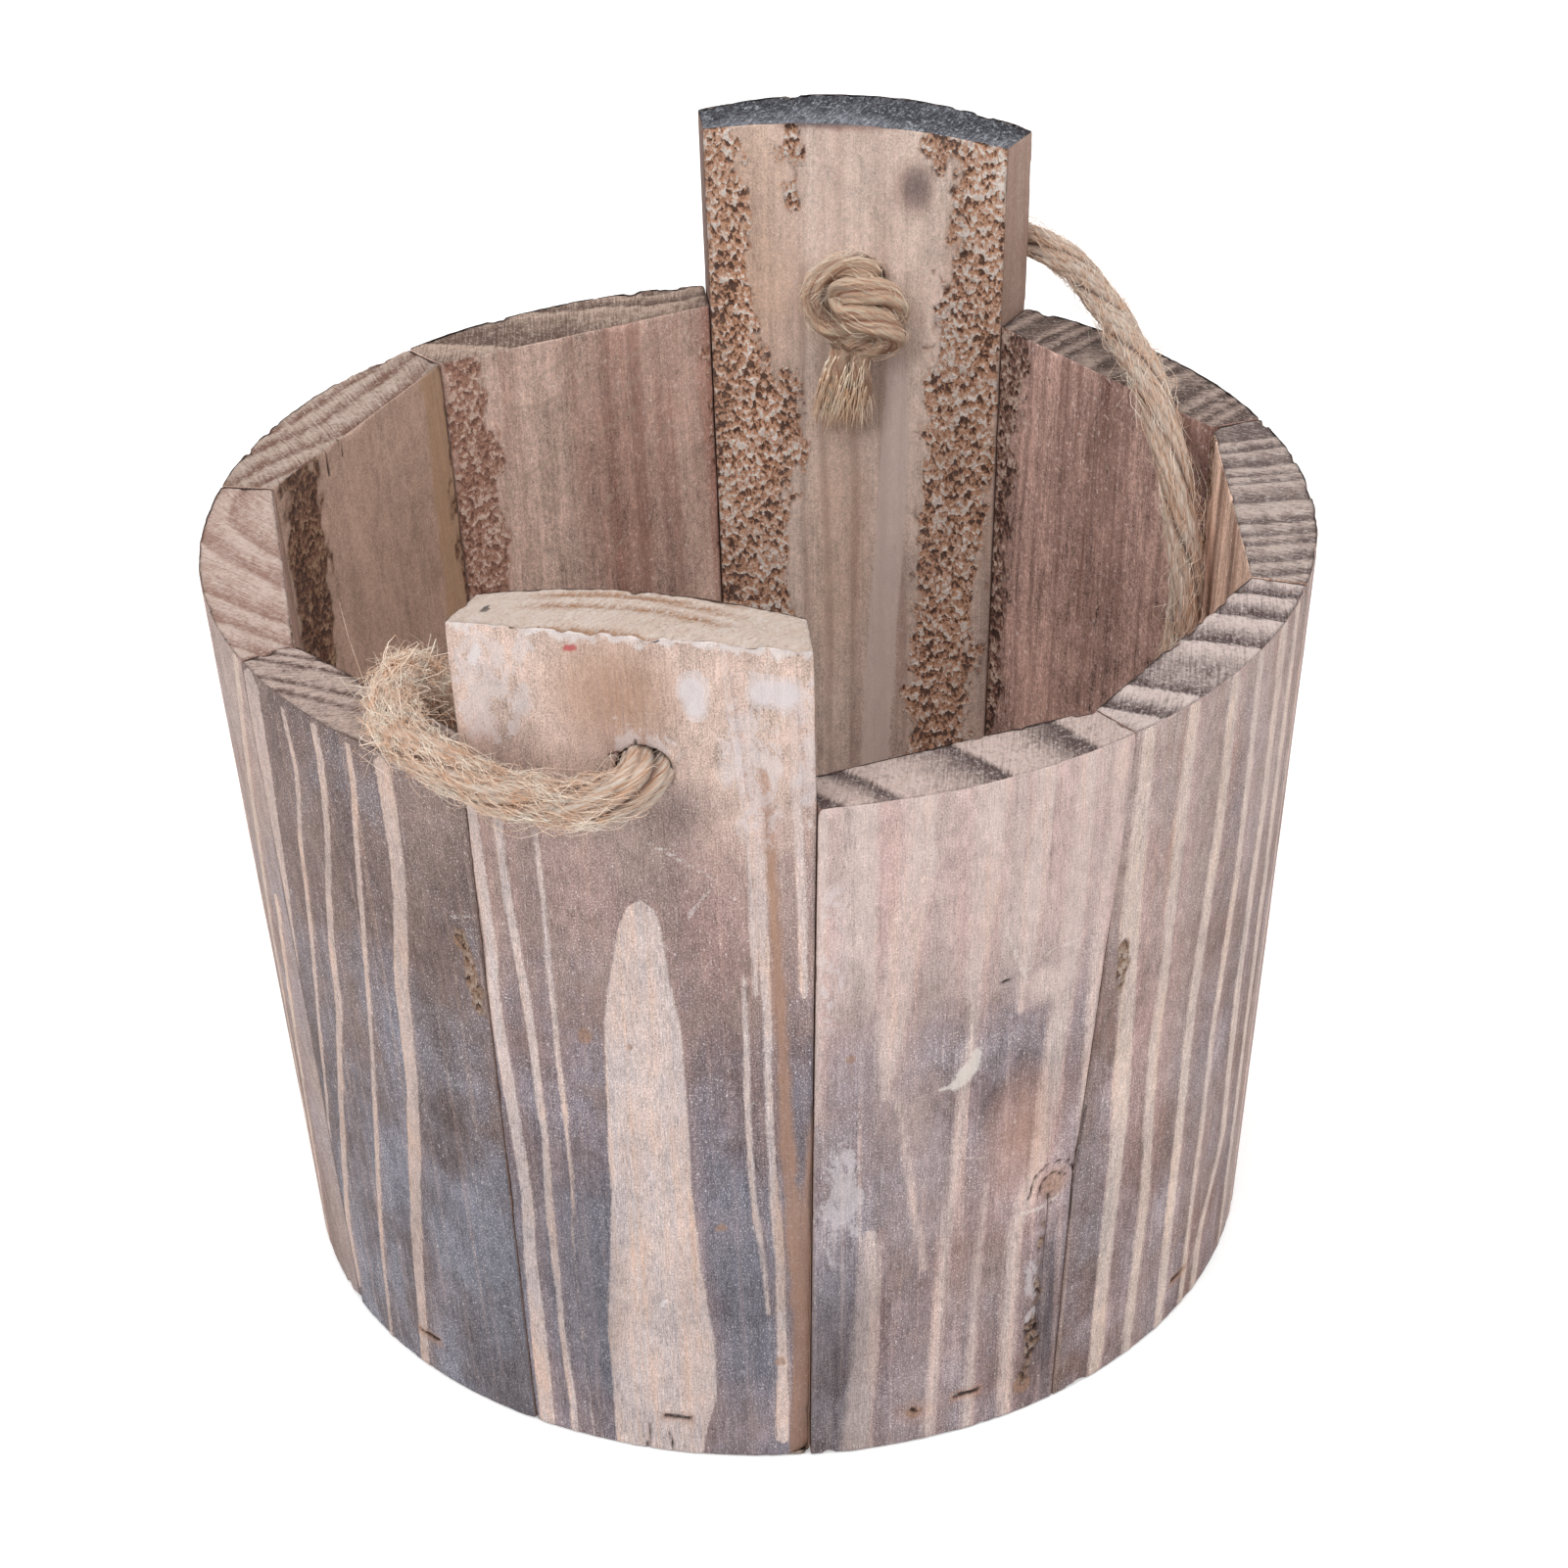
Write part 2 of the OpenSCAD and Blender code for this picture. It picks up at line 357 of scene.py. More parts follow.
def steady_lines(seed: int, low: float, high: float, gap: float, half: float, top: float) -> tuple[Line, ...]:
    """Make brushed grain lines for a board that the photograph doesn't show closely.

    Args:
        seed: Picks the places.
        low: Place across the board where they begin.
        high: Place across the board where they end.
        gap: Mean distance between two lines.
        half: Mean half width of a line.
        top: Height of the board.

    Returns:
        The lines.
    """
    rng = np.random.default_rng(seed)
    lines, y = [], low + gap * 0.4
    while y < high:
        drift = rng.uniform(-0.06, 0.02) * gap
        points = []
        for k in range(7):
            z = top * (1 - k / 6)
            sway = rng.normal(0, 0.45) + drift * k * 0.5
            points.append((z, y * (0.9 + 0.1 * z / top) + sway, half * rng.uniform(0.45, 1.5)))
        lines.append(Line(tuple(points)))
        y += gap * rng.uniform(0.6, 1.4)
    return tuple(lines)


@dataclass(frozen=True)
class FirFinish:
    """Colours of one board, as written for the screen, and how it is worked.

    Attributes:
        soft: How soft the pale lines' edges are.
        rubbed: How strong the streaks on the inner face are.
        streaky: How strong they are on the outer face.
        sawn: How strong the saw's marks on the end grain are.
        tear: How far torn grain stands out.
        calm: How much of its variation in tone is left where it isn't burnt.
    """

    pale: Colour = (0.82, 0.73, 0.70)
    warm: Colour = (0.80, 0.67, 0.59)
    brown: Colour = (0.50, 0.41, 0.395)
    grey: Colour = (0.55, 0.535, 0.56)
    unburnt: Colour = (0.79, 0.69, 0.65)
    inner: Colour = (0.68, 0.56, 0.51)
    inner_dark: Colour = (0.49, 0.38, 0.34)
    inner_pale: Colour = (0.70, 0.61, 0.55)
    raw: Colour = (0.72, 0.52, 0.38)
    end_light: Colour = (0.80, 0.69, 0.63)
    end_dark: Colour = (0.40, 0.36, 0.355)
    # The torn grain's darkest colour is painted shadow in its pits, and its two palest colours are painted
    # highlight on the chips' lower lips.
    torn_tan: Colour = (0.66, 0.51, 0.40)
    torn_pit_shadow: Colour = (0.30, 0.22, 0.19)
    dirt: Colour = (0.22, 0.18, 0.17)
    wash: Colour = (0.90, 0.87, 0.865)
    rose: Colour = (0.72, 0.575, 0.55)
    torn_pale: Colour = (0.76, 0.64, 0.56)
    torn_lip_highlight: Colour = (0.88, 0.78, 0.72)
    charred: Colour = (0.33, 0.325, 0.35)
    end_pale: Colour = (0.88, 0.78, 0.71)
    fleck: Colour = (0.72, 0.33, 0.34)
    smeared: Colour = (0.85, 0.82, 0.83)
    soft: float = 0.1
    rubbed: float = 0.6
    streaky: float = 1.0
    sawn: float = 1.0
    tear: float = 1.0
    calm: float = 1.0


@dataclass(frozen=True)
class BoardMarks:
    """Everything that makes one board look like itself.

    Attributes:
        lines: Pale brushed lines on the outer face.
        inner_lines: Streaks on the inner face.
        torn: Strips of torn grain on the outer face.
        inner_torn: Strips of torn grain on the inner face.
        char: How burnt the outer face is, as (height, level) from the foot up.
        wash: How much whitewash haze it has, as (height, level) from the foot up.
        raw: Bands of orange-brown bare wood on the outer face.
        inner_raw: The same on the inner face.
        scars: Pale scratches and smears on the outer face.
        cracks: Dark cracks on the outer face.
        inner_cracks: Dark cracks on the inner face.
        spots: Small knots and pits on the outer face.
        burns: Spots that change how burnt the outer face is.
        inner_burns_and_light: The same on the inner face; the lightening spot on the fourth right board is
            painted light.
        stains: Spots that are stained orange-brown on the outer face.
        inner_pale: Pale bands on the inner face.
        roses: Spots with a reddish tint on the outer face.
        inner_roses: The same on the inner face.
        end_spots: Small knots on the top, as (place across, place through the wall).
        smears: Spots of whitewash or glue on the outer face.
        flecks: Red flecks on the outer face.
        edge_char: How burnt the board's two sides are, clockwise side first.
        edge_raw: How much bare wood shows on its sides.
        saw_turn: Direction of the saw's marks on the end grain, in degrees from the rim's own.
        band_turn: Which way the end grain's rings go from their pith, in degrees: 0 along the rim, 90 inward.
        band_gap: Distance between rings.
        band_bias: Where a ring's pale part begins to fade, from 0 to 1.
        band_edge: How soft a ring's first edge is, from 0 to 1.
        band_far: Distance of the pith from the board's middle.
        band_reach: How far along the rim the rings show.
        notches: Places along the rim where its outer edge steps in: (place across, depth).
        closed: Height above which each side's joint is filled, clockwise side first.
    """

    lines: tuple[Line, ...] = ()
    inner_lines: tuple[Line, ...] = ()
    torn: tuple[Line, ...] = ()
    inner_torn: tuple[Line, ...] = ()
    char: tuple[Pair, ...] = ((0, 0.7), (75, 0.6), (150, 0.5))
    wash: tuple[Pair, ...] = ((0, 0.4), (75, 0.3), (150, 0.2))
    raw: tuple[Line, ...] = ()
    inner_raw: tuple[Line, ...] = ()
    scars: tuple[Scratch, ...] = ()
    cracks: tuple[Scratch, ...] = ()
    inner_cracks: tuple[Scratch, ...] = ()
    spots: tuple[Spot, ...] = ()
    burns: tuple[Spot, ...] = ()
    inner_burns_and_light: tuple[Spot, ...] = ()
    stains: tuple[Spot, ...] = ()
    inner_pale: tuple[Line | Scratch, ...] = ()
    roses: tuple[Spot, ...] = ()
    inner_roses: tuple[Spot, ...] = ()
    end_spots: tuple[Spot, ...] = ()
    smears: tuple[Spot, ...] = ()
    flecks: tuple[Scratch, ...] = ()
    edge_char: Pair = (0.6, 0.6)
    edge_raw: float = 0.0
    saw_turn: float = 45.0
    band_turn: float = 20.0
    band_gap: float = 8.0
    band_bias: float = 0.3
    band_edge: float = 0.12
    band_far: float = 110.0
    band_reach: float = 99.0
    notches: tuple[Pair, ...] = ()
    closed: Pair = (999.0, 999.0)


# Meshes

def new_mesh(name: str, places: Array, faces: Sequence[Any], smooth: bool = True) -> bpy.types.Object:
    """Make a mesh object from places in millimetres.

    Args:
        name: The piece's name.
        places: Vertices, in millimetres.
        faces: Blocks of faces, each a list or an array with one row of vertex numbers for each face.
        smooth: Whether the faces are shaded smooth.

    Returns:
        The object, linked to the scene.
    """
    blocks = [np.asarray(block, np.int32) for block in faces if len(block)]
    corners = np.concatenate([block.ravel() for block in blocks])
    sizes = np.concatenate([np.full(len(block), block.shape[1], np.int32) for block in blocks])
    mesh = bpy.data.meshes.new(name)
    mesh.vertices.add(len(places))
    mesh.vertices.foreach_set("co", (np.asarray(places) * MM).astype(np.float32).ravel())
    mesh.loops.add(len(corners))
    mesh.loops.foreach_set("vertex_index", corners)
    mesh.polygons.add(len(sizes))
    mesh.polygons.foreach_set("loop_start", np.concatenate([[0], np.cumsum(sizes)[:-1]]).astype(np.int32))
    mesh.polygons.foreach_set("loop_total", sizes)
    mesh.polygons.foreach_set("use_smooth", np.full(len(sizes), smooth))
    mesh.update(calc_edges=True)
    mesh.validate()
    piece = bpy.data.objects.new(name, mesh)
    bpy.context.scene.collection.objects.link(piece)
    return piece


def store_vector(piece: bpy.types.Object, name: str, values: Array) -> None:
    """Keep three numbers for each vertex, for the materials to read."""
    layer = piece.data.attributes.new(name, "FLOAT_VECTOR", "POINT")
    layer.data.foreach_set("vector", np.ascontiguousarray(values, np.float32).ravel())


def ruled(low: float, high: float, step: float, fine: Iterable[Triple] = ()) -> Array:
    """Rule a side of a board into lines: close together by the arrises, and where something fine sits.

    Args:
        low: First line.
        high: Last line.
        step: Usual distance between lines.
        fine: (from, to, step) of each finer stretch.

    Returns:
        The lines' places, from low to high.
    """
    arris = np.array([0.0, 0.12, 0.3, 0.55, 0.9])
    marks = list(np.arange(low + 0.9 + step, high - 0.9 - step * 0.5, step))
    for start, end, close in fine:
        marks = [m for m in marks if m < start - close * 0.5 or m > end + close * 0.5]
        marks += list(np.arange(start, end + close * 0.5, close))
    marks += list(low + arris) + list(high - arris)
    kept = [low]
    for mark in sorted(marks):
        if mark - kept[-1] > 0.1:
            kept.append(mark)
    return np.array(kept)


@dataclass
class Board:
    """One stave, as a dense closed mesh with worn arrises, torn grain and marks.

    Attributes:
        name: The piece's name.
        node: The CAD node that it stands for.
        index: The stave's place in the barrel, anticlockwise from the front ear.
        marks: What it looks like.
        finish: Its colours.
        slot: The record's material slot.
        ear_up: How far it rises above the rim.
        hole_off: Place of the rope hole across the board, on an ear.
        wane: Whether the right outer corner is missing.
        across: Usual distance between mesh lines across the board.
        along: Usual distance between mesh lines along the board.
        torn_step: Distance between mesh lines across torn grain.
        wane_r: Radius of the missing corner.
        wane_depth: Its depth at the foot.
        wane_h: Its height.
        staple_w: Width of a staple's crown.
        staple_z: Height of the staples.
        surface_in: How far the outer face lies inside the barrel's cone, to leave room for its relief.
        hole_spare: How far past the rope hole's radius the lattice is cut.
        burr: How far the saw's ragged lip stands out along the top, on an ear.
        end_rough: How rough the end grain is.
    """

    name: str
    node: str
    index: int
    marks: BoardMarks
    finish: FirFinish = FirFinish()
    slot: Slot = Slot.WASHED
    ear_up: float = 0.0
    hole_off: float | None = None
    wane: bool = False
    across: float = 0.85
    along: float = 1.1
    torn_step: float = 0.55
    wane_r: float = 5.0
    wane_depth: float = 2.0
    wane_h: float = 95.0
    staple_w: float = 5.0
    staple_z: float = 9.0
    surface_in: float = 0.1
    hole_spare: float = 0.35
    burr: float = 0.0
    end_rough: float = 0.22

    @property
    def top(self) -> float:
        """Height of the board's crown."""
        return BARREL.body_h + self.ear_up

    @property
    def half_w(self) -> float:
        """Half the board's width at its top."""
        return BARREL.outer_r(self.top) * math.sin(math.radians(BARREL.span(self.index) / 2))

    def crown(self, y: Array) -> Array:
        """Work out the height of the top across the board: an ear has an arched saw cut.

        Args:
            y: Places across the board in mm.

        Returns:
            The heights in mm.
        """
        if not self.ear_up:
            return np.full(np.shape(y), self.top)
        r = (self.half_w ** 2 + BARREL.ear_camber ** 2) / (2 * BARREL.ear_camber)
        return self.top - (r - np.sqrt(np.maximum(r * r - y * y, 0)))

    def rule(self) -> tuple[Array, Array, Array]:
        """Rule the board's width, thickness and height.

        Returns:
            Lines across, from -1 to 1; lines through the wall, from 0 outside to 1 inside; and heights.
        """
        w = self.half_w
        fine_y = [(-3.2, 3.2, 0.4)]
        fine_z = [(self.staple_z - 2.0, self.staple_z + 2.0, 0.4)]
        if self.hole_off is not None:
            fine_y = [(-4.6 + min(self.hole_off, 0), 4.6 + max(self.hole_off, 0), 0.45)]
            fine_z.append((BARREL.hole_z - 7.5, BARREL.hole_z + 7.5, 0.55))
        for strip in (*self.marks.inner_torn, *self.marks.torn):
            reach = [(y - half - 0.8, y + half + 0.8) for z, y, half in strip.points]
            fine_y.append((max(min(r[0] for r in reach), 1.5 - w), min(max(r[1] for r in reach), w - 1.5),
                           self.torn_step))
        a = ruled(-w, w, self.across, fine_y) / w
        z = ruled(0, self.top, self.along, fine_z)
        thick = BARREL.joint_t
        c = ruled(0, thick, 0.9) / thick
        return a, c, z

    def build(self) -> bpy.types.Object:
        """Build the board's mesh with its fields.

        Returns:
            The piece.
        """
        marks, i, half = self.marks, self.index, math.radians(BARREL.span(self.index) / 2)
        rules = self.rule()
        number = np.full([len(lines) for lines in rules], -1)
        shell = np.zeros(number.shape, bool)
        shell[[0, -1]] = shell[:, [0, -1]] = shell[:, :, [0, -1]] = True
        number[shell] = np.arange(shell.sum())
        at = np.nonzero(shell)
        a, c, z = (lines[k] for lines, k in zip(rules, at))
        if self.ear_up:
            drop = self.top - self.crown(a * self.half_w)
            z = z - drop * np.clip((z - BARREL.body_h) / self.ear_up, 0, 1)
        shut = smooth_step(-9, 9, z - np.where(a < 0, *marks.closed))
        gap = BARREL.glue_gap / 2 * (1 - 1.4 * shut)

        def turn(r: Array) -> Array:
            """Work out the place round the barrel of each ring.

            Args:
                r: Radius at each height in mm.

            Returns:
                Angles from the board's middle in radians.
            """
            left = -half + gap / r + BARREL.skew(i, -1, z)
            right = half - gap / r + BARREL.skew(i, 1, z)
            return left + (right - left) * (a + 1) / 2

        r_out = BARREL.outer_r(z) - self.surface_in
        t_out, t_in = turn(r_out), turn(BARREL.inner_d(i, z))
        # Where a joint leans over its neighbour, the inner face goes on along the neighbour's.
        r_in = BARREL.inner_d(i, z) / np.cos(np.minimum(np.abs(t_in), 2 * half - np.abs(t_in)))
        out = np.stack([r_out * np.cos(t_out), r_out * np.sin(t_out), z], -1)
        inn = np.stack([r_in * np.cos(t_in), r_in * np.sin(t_in), z], -1)
        if self.hole_off is not None:
            # Round the rope hole the lattice runs square through the wall.
            reach = np.hypot(out[:, 1] - self.hole_off, z - BARREL.hole_z)
            inn[:, 1] += (out[:, 1] - inn[:, 1]) * (1 - smooth_step(8, 17, reach))
        p = out + (inn - out) * c[:, None]
        y, depth = p[:, 1].copy(), c * BARREL.joint_t

        # The arrises are rounded by a wandering radius.
        da, dc = (1 - np.abs(a)) * self.half_w, np.minimum(c, 1 - c) * BARREL.joint_t
        top_here = self.crown(a * self.half_w)
        dz = np.minimum(z, top_here - z)
        place = BARREL.place(i)
        world = p @ place.T
        seed = 100 + 7 * i
        wear = 0.5 + 0.5 * layered_noise(world / 2.6, seed, 3)
        long_wear = 0.5 + 0.5 * layered_noise(world / 9, seed + 5, 2)
        up_top, up_foot = smooth_step(0, 4, z - (top_here - 4)), 1 - smooth_step(0, 4, z)
        radius = 0.14 + 0.6 * wear * long_wear
        radius += up_top * (0.25 + 0.75 * wear * long_wear) * (0.5 + 0.5 * (1 - c))
        radius += up_foot * 0.5 * wear * long_wear
        dent = smooth_step(0.28, 0.55, layered_noise(world / (3.6, 3.6, 5.0), seed + 8, 2))
        radius += dent * (0.35 + 0.75 * np.maximum(up_top, up_foot))
        radius *= 1 - 0.9 * shut * (1 - up_top)
        outward = np.stack([np.where(c > 0.5, -1, 1), np.sign(a), np.where(z > top_here / 2, 1, -1)], -1)
        push = outward * np.maximum(0, radius[:, None] - np.stack([dc, da, dz], -1))
        length = np.maximum(np.linalg.norm(push, axis=1), 1e-9)
        shift = push * (np.minimum(0, radius / length - 1) * (length > 1e-6))[:, None]
        angle = np.arctan2(p[:, 1], p[:, 0])
        radial = np.stack([np.cos(angle), np.sin(angle), 0 * angle], -1)
        around = np.stack([-np.sin(angle), np.cos(angle), 0 * angle], -1)
        upward = np.array([0.0, 0.0, 1.0])
        p = p + radial * shift[:, :1] + around * shift[:, 1:2] + upward * shift[:, 2:]

        # Fields that the material reads, and the relief that goes with them
        flat = np.stack([y, depth, z], -1)
        face, zero = flat[:, ::2], np.zeros(y.shape)
        is_out, is_in, is_foot, is_top = c == 0, c == 1, at[2] == 0, at[2] == len(rules[2]) - 1
        end = (is_top | is_foot).astype(float)
        flank = (np.abs(a) == 1) & (end == 0)
        side = flank & ~is_out
        sway = layered_noise(flat / (22, 30, 60), seed + 11, 2)
        y_soft = y + 0.5 * sway + 0.22 * layered_noise(flat / (3, 9, 9), seed + 12, 2)
        pale = highest((line.inside(y_soft, z) for line in marks.lines), zero - 9)
        bleed = highest((line.beside(y_soft, z) for line in marks.lines), zero)
        pale_in = highest((line.inside(y_soft, z) for line in marks.inner_lines), zero - 9)
        bands = self.rings(y, depth, sway, seed + 13)
        pale = np.where(end > 0, bands, np.where(is_in, pale_in, pale))
        pale = np.where(side & ~is_in, -1.0, pale)
        ragged = layered_noise(flat / (2.2, 9, 4), seed + 21, 3)

        def furthest(runs: Iterable[Any], rough: float) -> Array:
            """Give the furthest that each place is inside any of the marks, with a ragged rim."""
            return highest((run.inside(y, z) + rough * ragged for run in runs), zero - 9)

        torn_out = smooth_step(-2.0, 2.0, furthest(marks.torn, 2.2))
        torn_in = smooth_step(-3.0, 2.4, furthest(marks.inner_torn, 3.4))
        torn = np.where(is_in, torn_in, np.where(is_out, torn_out, 0)) * (end == 0)
        warp = 0.55 * np.stack([soft_noise(flat / (1.7, 3, 2.3), seed + k) for k in (38, 39)], -1)
        bite = smooth_step(-0.5, 0.5, layered_noise(flat / (3.1, 9, 5.2), seed + 37, 2))
        flakes = (0.25 + 0.65 * bite) * chip_noise(face / (1.7, 2.7) + warp, seed + 31)
        flakes += (0.55 - 0.3 * bite) * chip_noise(face / (0.95, 1.6) + warp, seed + 35)
        clumps = layered_noise(flat / (1.5, 9, 2.4), seed + 36, 3)
        patchy = torn * (0.86 + 0.4 * layered_noise(flat / (5, 9, 14), seed + 34, 2))
        torn = smooth_step(0.10, 0.75, patchy + 0.55 * clumps * (torn > 0.02))
        crack = np.where(is_in, furthest(marks.inner_cracks, 0.12), furthest(marks.cracks, 0.12))
        crack = np.where(end > 0, -9, crack)
        scar = np.where(is_in, furthest(marks.inner_pale, 0.35), furthest(marks.scars, 0.3))
        scar = np.where(end > 0, -9, scar)
        raw = np.where(is_in, furthest(marks.inner_raw, 1.2), furthest(marks.raw, 0.5))
        raw = smooth_step(-0.7, 0.7, raw) * (end == 0)
        raw = np.maximum(raw, marks.edge_raw * (side & ~is_in))
        stained = highest((spot.strength(y, z) for spot in marks.stains), zero)
        raw = np.maximum(raw, stained * is_out * (end == 0))
        char = np.interp(z, *zip(*marks.char)) + 0.25 * layered_noise(flat / (14, 30, 40), seed + 41, 2)
        for spot in marks.burns:
            char = char + spot.strength(y, z) * (~is_in)
        inner_char_and_light = 0.35 + 0.35 * layered_noise(flat / (10, 30, 45), seed + 43, 2)
        # Inner spots change how burnt the inner face is; the lightening one on the fourth right board is
        # painted light.
        for spot in marks.inner_burns_and_light:
            inner_char_and_light = inner_char_and_light + spot.strength(y, z)
        char = np.where(is_in, inner_char_and_light, char)
        char = np.where(flank & ~is_in, np.where(a < 0, *marks.edge_char), char)
        haze = np.interp(z, *zip(*marks.wash)) + 0.3 * layered_noise(flat / (17, 30, 26), seed + 45, 3)
        haze = np.where(is_in, haze * 0.4, haze)
        knot = highest((spot.strength(y, z) for spot in marks.spots), zero) * is_out
        knot = np.maximum(knot, highest((spot.strength(y, depth) for spot in marks.end_spots), zero) * is_top)
        if self.burr > 0.5:
            torn_lip = 2.8 * layered_noise(flat / (1.6, np.inf, 2.4), seed + 63, 3) + 1.5 - (top_here - z)
            scar = np.where(is_out & (end == 0), np.maximum(scar, 0.5 * torn_lip), scar)

        staple = np.minimum(self.staple_w / 2 + 0.1 - np.abs(y), 0.5 - np.abs(z - self.staple_z))
        staple = np.where(is_out, staple + 0.35 * layered_noise(flat / (0.9, 9, 0.7), seed + 23, 2), -9)
        crack = np.maximum(crack, staple - 0.12)
        raw = np.maximum(raw, smooth_step(-1.6, 0.2, staple) * 0.6)
        wane_cut = zero
        if self.wane:
            off = np.maximum(0, r_out * np.sin(half + BARREL.skew(i, 1, z)) - y)
            deep = self.wane_depth * np.clip(1 - z / self.wane_h, 0, 1)
            chord = np.sqrt(np.maximum(self.wane_r ** 2 - off ** 2, 0)) - (self.wane_r - deep)
            wane_cut = np.maximum(0, chord) * (1 - smooth_step(0, 0.35, c)) * (0.8 + 0.4 * wear)
        grain = layered_noise(flat / (0.9, 0.9, 16), seed + 51, 3)
        fuzz = layered_noise(world / 0.8, seed + 53, 3)
        lift = 0.10 * smooth_step(-0.3, 0.3, pale) + 0.07 * grain
        lift_out = lift - 0.75 * torn * (0.25 - 0.5 * flakes) - 0.5 * smooth_step(-0.2, 0.25, crack)
        lift_out -= 0.45 * smooth_step(-0.1, 0.3, staple) + wane_cut + 0.5 * knot * (0.3 - fuzz)
        lift_in = 0.06 * grain + 0.55 * self.finish.tear * torn * (0.6 * flakes - 0.06)
        lift_in -= 0.4 * smooth_step(-0.2, 0.25, crack)
        step_in = zero
        for where, deep in marks.notches:
            beside = smooth_step(-0.4, 0.4, where - y)
            step_in = step_in + deep * beside * smooth_step(0, 3.0, z - (top_here - 4.5))
        away = np.where(is_out, lift_out - step_in, 0) - np.where(is_in, lift_in, 0)
        away = np.where(is_out & (end > 0), -0.15 * wear - wane_cut - step_in, away)
        away = np.where((end > 0) & ~is_out & ~is_in, 0, away)
        if self.ear_up:
            lip = smooth_step(1.6, 0.2, top_here - z) * smooth_step(0.25, 0.0, c)
            stands = 1.5 * layered_noise(flat / (2.4, np.inf, 5), seed + 61, 3) + 0.45
            away = away + lip * np.maximum(0, stands) * self.burr
        end_fuzz = self.end_rough * fuzz + 0.30 * (bands - 1) - 0.1
        rim_down = up_top * 0.35 * wear * long_wear
        p += radial * away[:, None]
        p += upward * (np.where(is_top, end_fuzz - rim_down, 0) - np.where(is_foot, end_fuzz, 0))[:, None]
        p[:, 2] = np.clip(p[:, 2], 0, self.top)

        rose = highest((spot.strength(y, z) * is_out for spot in marks.roses), zero)
        rose = highest((spot.strength(y, z) * is_in for spot in marks.inner_roses), rose)
        fleece = highest((spot.strength(y, z) * is_out for spot in marks.smears), zero)
        for fleck in marks.flecks:
            fleece = np.where(is_out, fleece - 3 * smooth_step(-0.5, 0.5, fleck.inside(y, z)), fleece)
        edge = np.sort(np.stack([da + 9 * shut, dc, dz], -1), axis=1)[:, 1]
        raw = np.maximum(raw, smooth_step(0.15, 0.5, wane_cut) * (z < self.wane_h))
        fields = {
            "grain_mm": flat + (300.0 * i, 0, 0),
            "streaks": np.stack([pale, crack, scar], -1),
            "burn": np.stack([char, haze, raw], -1),
            "torn": np.stack([torn, flakes, end], -1),
            "spot": np.stack([edge, (is_in | side).astype(float), knot], -1),
            "bleed": np.stack([bleed * is_out * (end == 0), rose, fleece], -1),
        }
        faces, uvs = self.cover(number, *rules)
        if self.hole_off is not None:
            p, faces, uvs, fields = self.bore(p, flat, number, faces, uvs, fields)
        piece = new_mesh(self.name, p @ place.T, [faces])
        for key, values in fields.items():
            store_vector(piece, key, values)
        layer = piece.data.uv_layers.new(name="OFBake")
        layer.data.foreach_set("uv", np.ascontiguousarray(uvs, np.float32).ravel())
        return piece

    def rings(self, y: Array, depth: Array, sway: Array, seed: int) -> Array:
        """Draw the end grain's rings round their pith.

        Args:
            y: Places across the board.
            depth: Places through the wall.
            sway: How far the rings wander.
            seed: Picks their unevenness.

        Returns:
            How pale each place is, from 0 to 1.
        """
        marks, tilt = self.marks, math.radians(self.marks.band_turn)
        far = marks.band_far
        ring = np.hypot(y + math.cos(tilt) * far, depth - 5 + math.sin(tilt) * far) - far
        ring = ring / marks.band_gap + 0.35 * sway
        ring = ring + 0.55 * soft_noise(np.stack([ring * 0.9, 0 * ring, 0 * ring], -1), seed)
        part = np.mod(ring, 1)
        bands = smooth_step(0, marks.band_edge, part) * (1 - smooth_step(marks.band_bias, 1.0, part))
        return 1 - (1 - bands) * (1 - smooth_step(marks.band_reach - 5, marks.band_reach + 5, np.abs(y)))

    @property
    def layout(self) -> Pair:
        """Width and height of the flat layout, in mm."""
        return 2 * (2 * self.half_w + BARREL.joint_t) + 5, self.top + 2 * (BARREL.joint_t + 1) + 1

    def cover(self, number: Array, a: Array, c: Array, z: Array) -> tuple[Array, Array]:
        """Cover the six sides with faces, and lay them out flat side by side.

        Args:
            number: Vertex numbers on the ruled block.
            a: Lines across.
            c: Lines through the wall.
            z: Heights.

        Returns:
            The faces, and for each its corners on the flat layout.
        """
        w, t, h = 2 * self.half_w, BARREL.joint_t, self.top
        faces, uvs = [], []

        def side(grid: Array, s: Array, v: Array, left: float, low: float, flip: bool) -> None:
            """Add one side of the board.

            Args:
                grid: Its vertex numbers.
                s: The ruling along the first way in mm.
                v: The ruling along the other way in mm.
                left: Where it starts in the flat layout in mm.
                low: How high it lies there in mm.
                flip: True turns its faces over.
            """
            total, high = self.layout
            uv = np.stack(np.meshgrid((s + left) / total, (v + low) / high, indexing="ij"), -1)
            near, far = slice(None, -1), slice(1, None)
            cuts = ((near, near), (far, near), (far, far), (near, far))[::-1 if flip else 1]
            faces.append(np.stack([grid[cut] for cut in cuts], -1).reshape(-1, 4))
            uvs.append(np.stack([uv[cut] for cut in cuts], -2).reshape(-1, 4, 2))

        across, through = (a + 1) * w / 2, c * t
        side(number[:, 0, :], across, z, 1, 1, False)
        side(number[:, -1, :], across, z, 2 + w, 1, True)
        side(number[0, :, :], through, z, 3 + 2 * w, 1, True)
        side(number[-1, :, :], through, z, 4 + 2 * w + t, 1, False)
        side(number[:, :, -1], across, through, 1, h + 2, False)
        side(number[:, :, 0], across, through, 2 + w, h + 2, True)
        return np.concatenate(faces), np.concatenate(uvs)

